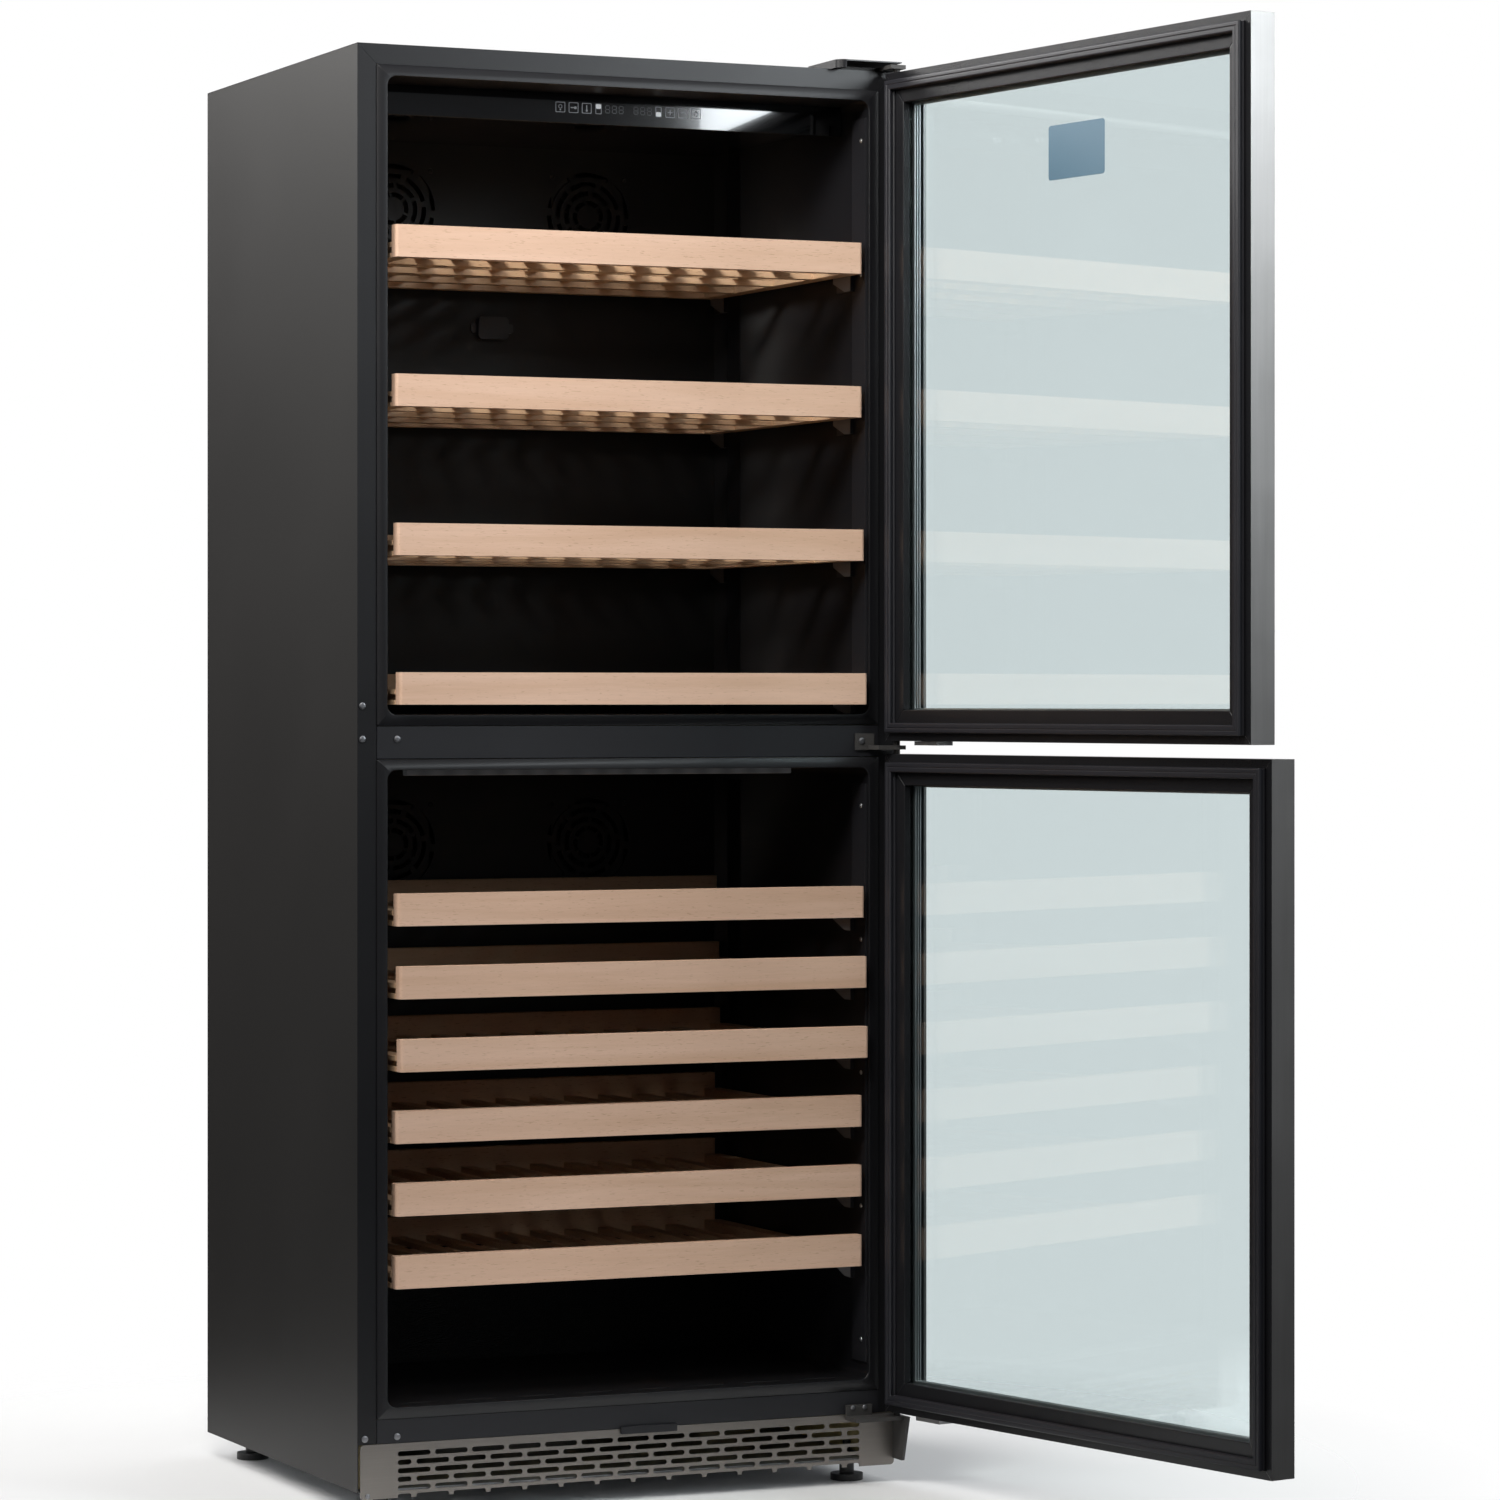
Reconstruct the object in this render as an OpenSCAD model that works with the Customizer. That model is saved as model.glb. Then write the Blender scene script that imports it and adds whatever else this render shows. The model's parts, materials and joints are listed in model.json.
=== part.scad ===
// Two-zone wine cooler: a foamed steel cabinet, two hinged glass doors and ten sliding wooden shelves.
// Millimetres, +Z up, doors to -Y. The origin is on the floor, under the middle of the cabinet.

/* [Cabinet] */
// Width of the cabinet
body_w = 700; // [580:1:900]
// Height of the side panels
body_h = 1698; // [1400:1:2050]
// Depth of the cabinet without its doors
body_d = 555; // [460:1:680]
// Height of the cabinet's base above the floor
foot_h = 30; // [20:1:60]
// Thickness of the folded steel sheets
sheet_t = 1.2; // [0.8:0.1:2]
// Width of the steel flange around the front
flange_w = 24; // [20:1:32]
// Width of the moulded lip around each opening
lip_w = 13; // [9:1:18]
// How far the lips stand in front of the steel flange
lip_proud = 2; // [1:0.5:4]
// Wall thickness of the moulded liners
liner_t = 2; // [1.5:0.1:3]
// Height of the divider between the two openings
mullion_h = 65; // [50:1:90]
// Height of the lower opening's floor above the base
floor_z = 98; // [90:1:130]
// Height of the lower opening
lower_open_h = 748; // [600:1:900]
// Thickness of the foam behind the liners
foam_back_t = 56; // [40:1:70]
// Depth of the air duct behind the back covers
duct_d = 33; // [31:1:50]
// Thickness of the back covers
cover_t = 3; // [2:0.5:4]
// Depth of the step over the compressor
step_d = 116; // [100:1:140]
// Height of the step over the compressor
step_h = 127; // [110:1:130]
// Thickness of the foam in the step
step_foam_t = 28; // [20:1:35]

/* [Shelves] */
// Height of a shelf's front board
board_h = 38; // [34:1:46]
// Thickness of the front board and the back rail
board_t = 18; // [12:1:24]
// Gap between the front board's ends and the liner
board_gap = 9.5; // [9:0.5:14]
// Height of the side beams
beam_h = 18; // [16:1:20]
// Width of the side beams
beam_w = 22; // [18:1:30]
// Width of the slats and of the cross members
slat_w = 18; // [14:1:22]
// Height of the slats and of the cross members
slat_h = 7; // [6:0.5:8]
// Distance between two slats
slat_pitch = 47; // [40:1:56]
// Distance between two cross members
cross_pitch = 117; // [80:1:130]
// Distance from the front board's face to the first cross member
cross_first = 99; // [60:1:120]
// How far a closed shelf's front stands in front of the cabinet
board_out = 4; // [0:1:5]
// Air gap between a shelf and the back cover
shelf_back_gap = 20; // [15:1:40]
// Height of the lowest shelf above the upper opening's floor
upper_first = 12; // [8:1:60]
// Space from the highest upper shelf to the top of its opening
upper_top_gap = 212; // [180:1:260]
// Height of the lowest shelf above the lower opening's floor
lower_first = 139; // [134:1:170]
// Space from the highest lower shelf to the top of its opening
lower_top_gap = 183; // [150:1:240]
// Height of the steel runner tongues
runner_h = 6; // [4:0.5:7]
// Depth of the runner groove in a side beam
groove_d = 5; // [3:0.5:7]
// Gap between a runner and its groove
groove_gap = 0.5; // [0.3:0.1:0.8]

/* [Doors] */
// Thickness of a door's steel frame
door_t = 34; // [30:1:44]
// Gap between the cabinet's front and a closed door
door_gap = 14; // [12:1:18]
// Width of a door's border around its glass
door_border = 38; // [36:1:50]
// Width of the border's full-thickness rim
door_rim = 16; // [15:1:20]
// Thickness of the black frame that holds the glass
bead_t = 10; // [8:1:12]
// Thickness of one glass pane
pane_t = 4; // [3:0.5:5]
// Width of the gasket
gasket_w = 12; // [10:1:13]
// Clearance of the closed gasket
gasket_gap = 0.7; // [0.5:0.1:1.5]
// Gap between the two doors
door_split = 16; // [14:1:22]
// How far the split between the doors lies below the divider's middle
door_line_drop = 8; // [4:0.5:9]
// Gap from the top of the upper door to the cabinet's top
door_top_gap = 5; // [3:1:10]
// Height of the lower door's bottom edge above the base
door_bottom_z = 60; // [58:1:80]
// Distance of the hinge pins from the cabinet's side
pin_inset = 10; // [9:0.5:12]
// Radius of the hinge pins
pin_r = 4; // [3:0.5:4.5]
// Running clearance around the hinge pins
pin_gap = 0.05; // [0.03:0.01:0.1]
// Opening angle of the upper door as drawn
upper_open = 99.5; // [0:0.5:115]
// Opening angle of the lower door as drawn
lower_open = 102; // [0:0.5:115]
// Distance from the ends of the shorter door to its handle studs
stud_end = 121.25; // [60:0.25:180]
// Radius of the handle studs
stud_r = 2.5; // [2:0.5:3]
// Length of the handle studs
stud_l = 7; // [5:1:12]

/* [Details] */
// Radius of the circulation fans' blades
fan_r = 44; // [38:1:50]
// Radius of the grilles in the back covers
grille_r = 60; // [56:1:66]
// Distance between two fans of a zone
fan_pitch = 268; // [220:1:300]
// Height of the plinth
plinth_h = 64; // [56:1:70]
// How far the plinth reaches below the base
plinth_drop = 8; // [0:1:14]
// Length of a plinth slot
slot_l = 41; // [30:1:60]
// Width of a plinth slot
slot_w = 6; // [4:0.5:7]
// Distance between two slots
slot_pitch = 46.6; // [44:0.2:70]
// Distance between two rows of slots
row_pitch = 10; // [8:0.5:12]
// Radius of the compressor's shell
compressor_r = 58; // [50:1:60]

/* [Hidden] */

$fn = 48;
eps = 0.01;
joint = 0.2;              // hairline between pieces that butt together

// cabinet
half_w = body_w / 2;
y_front = -body_d / 2;
y_back = body_d / 2;
open_w = half_w - flange_w - lip_w;          // half the width of an opening
lower_z0 = foot_h + floor_z;
lower_z1 = lower_z0 + lower_open_h;
upper_z0 = lower_z1 + mullion_h;
top_z = foot_h + body_h;
upper_z1 = top_z - flange_w - lip_w;
liner_back = y_back - sheet_t - foam_back_t - liner_t;
duct_y = liner_back - duct_d;                // front face of the back covers
step_y = liner_back - step_d;                // front face of the step
step_z = lower_z0 + step_h;
skin = sheet_t + joint;                      // from an outer face to the foam
lip_r = 12;                                  // inner corners of a lip
lip_corner = 1.5;                            // outer corners of a lip
foam_floor_t = 34;
control_y = y_front + 75;
control_h = 36;
inlet_w = 32;
inlet_h = 26;

// shelves
upper_count = 4;
lower_count = 6;
upper_pitch = (upper_z1 - upper_z0 - upper_first - upper_top_gap) / (upper_count - 1);
lower_pitch = (lower_open_h - lower_first - lower_top_gap) / (lower_count - 1);
board_w = 2 * (open_w - board_gap);
shelf_y0 = y_front - board_out;
shelf_y1 = duct_y - shelf_back_gap;
pulled = [0, 0, 6, 14, 6, 14, 17, 0, 0, 0];  // how far each shelf is drawn out
runner_z = 6;                                // height of a runner's tongue above the shelf's underside
runner_y0 = y_front + 44;                    // just behind the front brackets' stops
strip_w = 38;
bracket_l = 50;
bracket_y = 32;                              // from a strip's front edge to its brackets
strip_y = [y_front + 4, duct_y - 2 - bracket_y - bracket_l];
strip_t = 2;
bracket_drop = 18;
bracket_bar = 7;
bracket_proud = 7;

// doors
door_y1 = y_front - door_gap;                // inner face of a closed door
door_y0 = door_y1 - door_t;                  // outer face of a closed door
face_t = 4;                                  // thickness of the frame's face over the glass
glass_y1 = door_y1 - bead_t;
glass_y0 = door_y0 + face_t;
glass_edge = door_rim + 1;
upper_door_z1 = top_z - door_top_gap;
mullion_mid = upper_z0 - mullion_h / 2;
door_line = mullion_mid - door_line_drop;    // height of the middle hinge's arm
upper_door_z0 = door_line + door_split / 2;
lower_door_z1 = door_line - door_split / 2;
lower_door_z0 = foot_h + door_bottom_z;
pin_x = half_w - pin_inset;
pin_y = door_y1 - 10;
pin_l = 10;
hinge_t = 5;
gasket_inset = 10;
stud_pitch = min(upper_door_z1 - upper_door_z0, lower_door_z1 - lower_door_z0) - 2 * stud_end;

// fans and the compressor space
fan_drop = 109;
fan_t = 24;
rotor_t = 14;
sensor_drop = 257;
step_in_y = step_y + liner_t + step_foam_t;
bay_z1 = step_z - liner_t - step_foam_t;
condenser_w = 150;
blower_r = 50;

function shelf_z(n) = n <= upper_count
    ? upper_z0 + upper_first + (upper_count - n) * upper_pitch
    : lower_z0 + lower_first + (upper_count + lower_count - n) * lower_pitch;

// ---------------------------------------------------------------- shared shapes

// A box from its low corner to its high corner.
module block(low, high) { translate(low) cube(high - low); }

// A flat rectangle with round corners, centred.
module round_rect(w, h, r) {
    square([w - 2 * r, h], center = true);
    square([w, h - 2 * r], center = true);
    for (sx = [-1, 1], sy = [-1, 1])
        translate([sx * (w / 2 - r), sy * (h / 2 - r)]) circle(r = r);
}

// A plate standing across the cabinet: its 2D shape is in X and Z, its thickness runs back from y.
module standing(y, t) { translate([0, y + t, 0]) rotate([90, 0, 0]) linear_extrude(t) children(); }

// One side of a mitred rectangular frame in X and Z: side 0 is the bottom, 1 right, 2 top, 3 left.
module frame_side(x0, x1, z0, z1, inset, bar, side) {
    a = inset;
    b = inset + bar;
    j = joint / 2;
    if (side == 0)
        polygon([[x0 + a + j, z0 + a], [x1 - a - j, z0 + a], [x1 - b - j, z0 + b], [x0 + b + j, z0 + b]]);
    if (side == 2)
        polygon([[x0 + a + j, z1 - a], [x1 - a - j, z1 - a], [x1 - b - j, z1 - b], [x0 + b + j, z1 - b]]);
    if (side == 1)
        polygon([[x1 - a, z0 + a + j], [x1 - a, z1 - a - j], [x1 - b, z1 - b - j], [x1 - b, z0 + b + j]]);
    if (side == 3)
        polygon([[x0 + a, z0 + a + j], [x0 + a, z1 - a - j], [x0 + b, z1 - b - j], [x0 + b, z0 + b + j]]);
}

// A round-ended slot, centred, its long side along X.
module slot_2d(l, w) {
    square([l - w, w], center = true);
    for (s = [-1, 1]) translate([s * (l - w) / 2, 0]) circle(d = w);
}

// ---------------------------------------------------------------- cabinet

// The side panels and the top are folded sheets, with a flange across the front cut to a mitre.
module side_panel(s) {
    color([0.16, 0.15, 0.14]) {
        block([s > 0 ? half_w - sheet_t : -half_w, y_front, foot_h],
              [s > 0 ? half_w : -half_w + sheet_t, y_back, top_z - sheet_t - joint]);
        standing(y_front, sheet_t) difference() {
            frame_side(-half_w, half_w, foot_h - flange_w, top_z, 0, flange_w - joint, s > 0 ? 1 : 3);
            translate([-half_w - 1, foot_h - flange_w - 1])
                square([body_w + 2, plinth_h - plinth_drop + flange_w + joint + 1]);
            translate([-half_w - 1, top_z - sheet_t - joint]) square([body_w + 2, 5]);
        }
    }
}

module top_panel() {
    color([0.16, 0.15, 0.14]) {
        block([-half_w, y_front + joint, top_z - sheet_t], [half_w, y_back, top_z]);
        standing(y_front, sheet_t)
            frame_side(-half_w, half_w, foot_h, top_z, 0, flange_w - joint, 2);
    }
}

// The back is a plain sheet with rows of vents behind the compressor.
module rear_panel() {
    vents = floor((body_w - 120) / 40);
    color([0.30, 0.31, 0.32])
        standing(y_back - sheet_t, sheet_t - joint) difference() {
            translate([-half_w + skin, foot_h + joint])
                square([body_w - 2 * skin, body_h - sheet_t - 3 * joint]);
            for (i = [0 : vents - 1], z = [90 : 14 : 160])
                translate([(i - (vents - 1) / 2) * 40, foot_h + z]) slot_2d(28, 5);
            translate([half_w - 70, foot_h + 45]) square([inlet_w + 1, inlet_h + 1], center = true);
        }
}

// The tray carries the compressor; four holes take the stems of the levelling feet.
module base_tray() {
    color([0.35, 0.36, 0.37]) difference() {
        block([-half_w + skin, y_front + skin + 2, foot_h],
              [half_w - skin, y_back - skin - joint, foot_h + 2]);
        feet_places() translate([0, 0, foot_h - 1]) cylinder(r = 5.2, h = 4);
    }
}

module feet_places() {
    for (sx = [-1, 1], y = [y_front + 45, y_back - 45]) translate([sx * (half_w - 45), y, 0]) children();
}

module levelling_feet() {
    color([0.10, 0.10, 0.10]) feet_places() {
        cylinder(r = 20, h = 8);
        cylinder(r = 9, h = foot_h - joint);
        cylinder(r = 5, h = foot_h + 18);
    }
}

// Foam slabs between the outer sheets and the liners, each a plain block.
module insulation() {
    out_w = half_w - skin;
    in_w = open_w + liner_t + joint;
    y0 = y_front + skin + 6;
    y1 = y_back - skin;
    back0 = liner_back + liner_t + joint;
    color([0.93, 0.86, 0.62]) {
        for (s = [-1, 1])
            block([s > 0 ? in_w : -out_w, y0, foot_h + 4], [s > 0 ? out_w : -in_w, y1, top_z - skin]);
        block([-in_w + joint, y0, upper_z1 + liner_t + joint], [in_w - joint, y1, top_z - skin]);
        block([-in_w + joint, y0, lower_z1 + liner_t + joint],
              [in_w - joint, y1, upper_z0 - liner_t - joint]);
        block([-in_w + joint, back0, upper_z0 - liner_t], [in_w - joint, y1, upper_z1 + liner_t]);
        block([-in_w + joint, back0, step_z], [in_w - joint, y1, lower_z1 + liner_t]);
        block([-in_w + joint, y0, lower_z0 - liner_t - foam_floor_t],
              [in_w - joint, step_in_y, lower_z0 - liner_t - joint]);
        block([-in_w + joint, step_y + liner_t + joint, lower_z0 - liner_t],
              [in_w - joint, step_in_y, bay_z1 - joint]);
        block([-in_w + joint, step_y + liner_t + joint, bay_z1],
              [in_w - joint, y1, step_z - liner_t - joint]);
    }
}

// A liner: the walls of one zone from its side outline, with the lip around its opening.
module liner(z0, z1, outline, outer_outline) {
    difference() {
        union() {
            rotate([90, 0, 90]) translate([0, 0, -open_w - liner_t])
                linear_extrude(2 * (open_w + liner_t)) polygon(outer_outline);
            standing(y_front - lip_proud, lip_proud + 5)
                translate([0, (z0 + z1) / 2])
                    round_rect(2 * (open_w + lip_w - joint), z1 - z0 + 2 * (lip_w - joint), lip_corner);
        }
        rotate([90, 0, 90]) translate([0, 0, -open_w]) linear_extrude(2 * open_w) polygon(outline);
        standing(y_front - lip_proud - 1, lip_proud + 1 + eps)
            translate([0, (z0 + z1) / 2]) round_rect(2 * open_w, z1 - z0, lip_r);
    }
}

module upper_liner() {
    y0 = y_front + 1;
    yb = liner_back;
    color([0.12, 0.12, 0.13]) liner(upper_z0, upper_z1,
        [[y0 - 2, upper_z0], [yb, upper_z0], [yb, upper_z1], [y0 - 2, upper_z1]],
        [[y0, upper_z0 - liner_t], [yb + liner_t, upper_z0 - liner_t],
         [yb + liner_t, upper_z1 + liner_t], [y0, upper_z1 + liner_t]]);
}

module lower_liner() {
    y0 = y_front + 1;
    yb = liner_back;
    t = liner_t;
    floor_vents = 8;
    color([0.12, 0.12, 0.13]) difference() {
        liner(lower_z0, lower_z1,
            [[y0 - 2, lower_z0], [step_y, lower_z0], [step_y, step_z], [yb, step_z],
             [yb, lower_z1], [y0 - 2, lower_z1]],
            [[y0, lower_z0 - t], [step_y + t, lower_z0 - t], [step_y + t, step_z - t],
             [yb + t, step_z - t], [yb + t, lower_z1 + t], [y0, lower_z1 + t]]);
        for (i = [0 : floor_vents - 1])
            translate([(i - (floor_vents - 1) / 2) * 74, y_front + 30, lower_z0 - 1])
                linear_extrude(2) slot_2d(47, 6);
    }
}

// Black covers on the front of the divider and of the sill, and the small clip over the plinth.
module front_trims() {
    sill_z1 = lower_z0 - lip_w - joint;
    sill_z0 = foot_h - plinth_drop + plinth_h + joint;
    w = half_w - flange_w - joint;
    color([0.09, 0.09, 0.10]) {
        block([-w, y_front - 1, lower_z1 + lip_w + joint], [w, y_front + 3, upper_z0 - lip_w - joint]);
        block([-w, y_front - 1, sill_z0], [w, y_front + 3, sill_z1]);
        block([-17, y_front - 5.5, sill_z0 - 6], [56, y_front - 1.5 - joint, sill_z0 + 3]);
    }
}

// A ring sector from angle a0 to a1, as a band of the given width at radius r.
module arc_slot(r, w, a0, a1) {
    rotate(a0) intersection() {
        difference() {
            circle(r = r + w / 2);
            circle(r = r - w / 2);
        }
        polygon([[0, 0], [2 * r, 0], [2 * r, 2 * r * tan(min(a1 - a0, 80))]]);
    }
}

module fan_grille() {
    rings = 4;
    for (i = [0 : rings - 1], k = [0 : 5])
        arc_slot(grille_r - 6 - i * 12, 6, k * 60 + i * 15, k * 60 + i * 15 + 50);
}

module duct_cover(z0, z1, fan_z) {
    color([0.13, 0.13, 0.14]) {
        standing(duct_y, cover_t) difference() {
            translate([-open_w + 1, z0 + 1]) square([2 * open_w - 2, z1 - z0 - 2]);
            for (s = [-1, 1]) translate([s * fan_pitch / 2, fan_z]) fan_grille();
            for (s = [-1, 1], c = [-1, 1], d = [-1, 1])
                translate([s * fan_pitch / 2 + c * 50, fan_z + d * 50]) circle(r = 2.2);
            for (i = [-3 : 3]) translate([i * 60, z0 + 30]) slot_2d(44, 6);
        }
    }
}

// The little housing of the temperature sensor, on the front of the back cover.
module sensor_housing(z) {
    color([0.20, 0.20, 0.21]) {
        standing(duct_y - 9, 9 - joint) translate([0, z]) round_rect(41, 29, 6);
        for (s = [-1, 1])
            standing(duct_y - 3, 3 - joint) translate([s * 25, z]) round_rect(8, 12, 3);
    }
}

module upper_duct_cover() {
    duct_cover(upper_z0, upper_z1, upper_z1 - fan_drop);
    sensor_housing(upper_z1 - sensor_drop);
}

module lower_duct_cover() {
    duct_cover(step_z, lower_z1, lower_z1 - fan_drop + 8);
    sensor_housing(lower_z1 - sensor_drop);
}

// Upright strips on the side walls, with a bracket at every shelf place. A front bracket has an
// upright stop at its front end, so that its runner cannot creep out.
module support_strip(s, y, stop, z0, z1, first, pitch, count) {
    wall = open_w - joint;
    bracket_x = wall - bracket_proud;
    seat_z = runner_z - joint / 2;
    mirror([s > 0 ? 0 : 1, 0, 0]) {
        block([wall - strip_t, y, z0 + 20], [wall, y + strip_w, z1 - 20]);
        for (i = [0 : count - 1]) translate([0, y + bracket_y, first + i * pitch]) {
            drop = min(bracket_drop, first + i * pitch - z0 - 1);
            if (stop)
                block([bracket_x, 0, -drop],
                      [wall - strip_t + eps, bracket_bar, board_h - bracket_drop + 3]);
            translate([bracket_x, 0, 0]) rotate([90, 0, 90])
                linear_extrude(wall - strip_t + eps - bracket_x)
                    polygon([[bracket_bar - eps, -drop], [bracket_bar + 10, -drop],
                             [bracket_l, -drop / 3], [bracket_l, seat_z], [bracket_bar - eps, seat_z]]);
            block([wall - strip_t, 0, -drop], [wall, bracket_l, seat_z]);
        }
    }
}

module support_strips() {
    color([0.17, 0.17, 0.18]) for (s = [-1, 1], k = [0, 1]) {
        support_strip(s, strip_y[k], k == 0, upper_z0, upper_z1,
                      shelf_z(upper_count), upper_pitch, upper_count);
        support_strip(s, strip_y[k], k == 0, k == 0 ? lower_z0 : step_z, lower_z1,
                      shelf_z(upper_count + lower_count), lower_pitch, lower_count);
    }
}

// Steel tongues that the side beams slide on, one on each side of every shelf.
module shelf_runners() {
    tip = board_w / 2 - groove_d + groove_gap;
    wall = open_w - strip_t - 2 * joint;
    color([0.62, 0.64, 0.66]) for (n = [1 : upper_count + lower_count], s = [-1, 1])
        mirror([s > 0 ? 0 : 1, 0, 0])
            block([tip, runner_y0, shelf_z(n) + runner_z],
                  [wall, shelf_y1 - 4, shelf_z(n) + runner_z + runner_h]);
}

// ---------------------------------------------------------------- inside fittings

// Control housing under the ceiling: a glossy fascia in front of a flat box.
module control_panel() {
    w = open_w - 1;
    color([0.03, 0.03, 0.03])
        block([-w, control_y, upper_z1 - control_h - joint], [w, control_y + 5, upper_z1 - joint]);
    color([0.14, 0.14, 0.15])
        block([3 - w, control_y + 5 + joint, upper_z1 - 25], [w - 3, duct_y - 8, upper_z1 - joint]);
}

// Light strips under the control housing and under the lower ceiling.
module lamps() {
    l = open_w - 60;
    color([0.95, 0.95, 0.98]) {
        block([-l, control_y + 20, upper_z1 - 29], [l, control_y + 34, upper_z1 - 25 - joint]);
        block([-l, control_y + 20, lower_z1 - 8], [l, control_y + 34, lower_z1 - joint]);
    }
}

// Cooling plates in the ducts, each with a winding of tube pressed on it.
module evaporator(z0, z1) {
    rows = floor((z1 - z0 - 40) / 60);
    y = duct_y + cover_t + 12;
    x = open_w - 40;
    block([-x, y, z0], [x, y + 2, z1]);
    for (i = [0 : rows])
        translate([-x + 12, y - 3.5, z0 + 20 + i * 60]) rotate([0, 90, 0]) cylinder(r = 4, h = 2 * x - 24);
}

module evaporators() {
    color([0.75, 0.77, 0.79]) {
        evaporator(upper_z0 + 60, upper_z1 - fan_drop - grille_r - 20);
        evaporator(step_z + 50, lower_z1 - fan_drop - grille_r - 12);
    }
}

module fan_places() {
    for (s = [-1, 1], z = [upper_z1 - fan_drop, lower_z1 - fan_drop + 8])
        translate([s * fan_pitch / 2, duct_y + cover_t + joint, z]) children();
}

// Square fan casings with a round way through, and the blower casing of the condenser.
module fan_casing(r, t) {
    side = 2 * (r + 6);
    rotate([-90, 0, 0]) {
        linear_extrude(t) difference() {
            round_rect(side, side, 6);
            circle(r = r + 2);
        }
        translate([0, 0, t - 3]) linear_extrude(3) {
            circle(r = 12);
            for (a = [45, 135]) rotate(a) square([2 * r + 6, 4], center = true);
        }
    }
}

module fan_housings() {
    color([0.10, 0.10, 0.11]) {
        fan_places() fan_casing(fan_r, fan_t);
        condenser_fan_place() fan_casing(blower_r, fan_t);
    }
}

module condenser_fan_place() {
    translate([-half_w + 60 + condenser_w + 12, (step_in_y + y_back) / 2, foot_h + 70])
        rotate([0, 0, 90]) mirror([0, 1, 0]) children();
}

// A rotor: a hub with seven tilted blades, turning about Y.
module rotor(r) {
    blades = 7;
    color([0.15, 0.15, 0.16]) translate([0, 3, 0]) rotate([-90, 0, 0]) {
        cylinder(r = 14, h = rotor_t);
        for (i = [0 : blades - 1]) rotate(i * 360 / blades)
            translate([13, 0, rotor_t / 2]) rotate([38, 0, 0])
                translate([0, -8, -0.7]) cube([r - 13.5, 16, 1.4]);
    }
}

module circulation_rotor(s, z) {
    translate([s * fan_pitch / 2, duct_y + cover_t + joint, z]) rotor(fan_r);
}

// Hermetic compressor: a welded shell on a foot plate with rubber mounts.
module compressor() {
    x = half_w - 150;
    y = (step_in_y + y_back) / 2 - 2;
    translate([x, y, foot_h + 2 + joint]) {
        color([0.08, 0.08, 0.08]) {
            translate([0, 0, 14]) rotate_extrude($fn = 64)
                polygon([[0, 0], [compressor_r - 14, 0], [compressor_r - 2, 14], [compressor_r, 30],
                         [compressor_r, 70], [compressor_r - 6, 92], [compressor_r - 24, 108], [0, 114]]);
            translate([-70, -50, 10]) cube([140, 100, 4]);
            for (sx = [-1, 1], sy = [-1, 1])
                translate([sx * 60, sy * 38, 0]) cylinder(r = 8, h = 11);
            translate([-compressor_r - 16, -22, 34]) cube([30, 44, 46]);
        }
    }
}

// Finned condenser block next to its fan.
module condenser() {
    fins = 15;
    depth = 96;
    y = (step_in_y + y_back) / 2;
    color([0.20, 0.20, 0.21])
        translate([-half_w + 60, y - depth / 2, foot_h + 8]) {
            for (i = [0 : fins - 1])
                translate([i * (condenser_w - 2) / (fins - 1), 0, 0]) cube([1.5, depth, 124]);
            for (row = [0 : 4], col = [0 : 2])
                translate([1, 18 + col * 30, 16 + row * 23]) rotate([0, 90, 0])
                    cylinder(r = 4, h = condenser_w - 2);
            translate([0, 4, -5.8]) cube([condenser_w, 10, 6]);
            translate([0, depth - 14, -5.8]) cube([condenser_w, 10, 6]);
        }
}

// Mains inlet in the rear panel.
module power_inlet() {
    color([0.05, 0.05, 0.05]) translate([half_w - 70, y_back - 25, foot_h + 45]) difference() {
        union() {
            translate([-inlet_w / 2, 0, -inlet_h / 2]) cube([inlet_w, 25, inlet_h]);
            translate([-inlet_w / 2 - 4, 21, -inlet_h / 2 - 4])
                cube([inlet_w + 8, 4 - sheet_t - joint, inlet_h + 8]);
        }
        translate([-12, 8, -8]) cube([24, 20, 16]);
    }
}

// ---------------------------------------------------------------- front and hinges

// Stainless plinth with staggered rows of round-ended slots; the lowest row runs out of its edge.
module plinth_grille() {
    rows = 6;
    first_row = 12.5;                        // from the plinth's top edge to the middle of its first row
    w = half_w - 3;
    z1 = foot_h - plinth_drop + plinth_h;
    field = half_w - 48;
    count = floor((2 * field - slot_l) / slot_pitch) + 1;
    color([0.72, 0.72, 0.70]) {
        standing(y_front - 1.5, 1.5 - joint) difference() {
            translate([0, z1 - plinth_h / 2]) round_rect(2 * w, plinth_h, 5);
            for (row = [0 : rows - 1]) translate([0, z1 - first_row - row * row_pitch]) {
                shift = row % 2;
                for (i = [0 : count - 1 - shift])
                    translate([(i - (count - 1 - shift) / 2) * slot_pitch, 0]) slot_2d(slot_l, slot_w);
                if (shift == 1) for (s = [-1, 1])
                    translate([s * ((count - 1) / 2 * slot_pitch + slot_l / 2 - 8.5), 0]) slot_2d(17, slot_w);
            }
        }
    }
}

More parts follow.
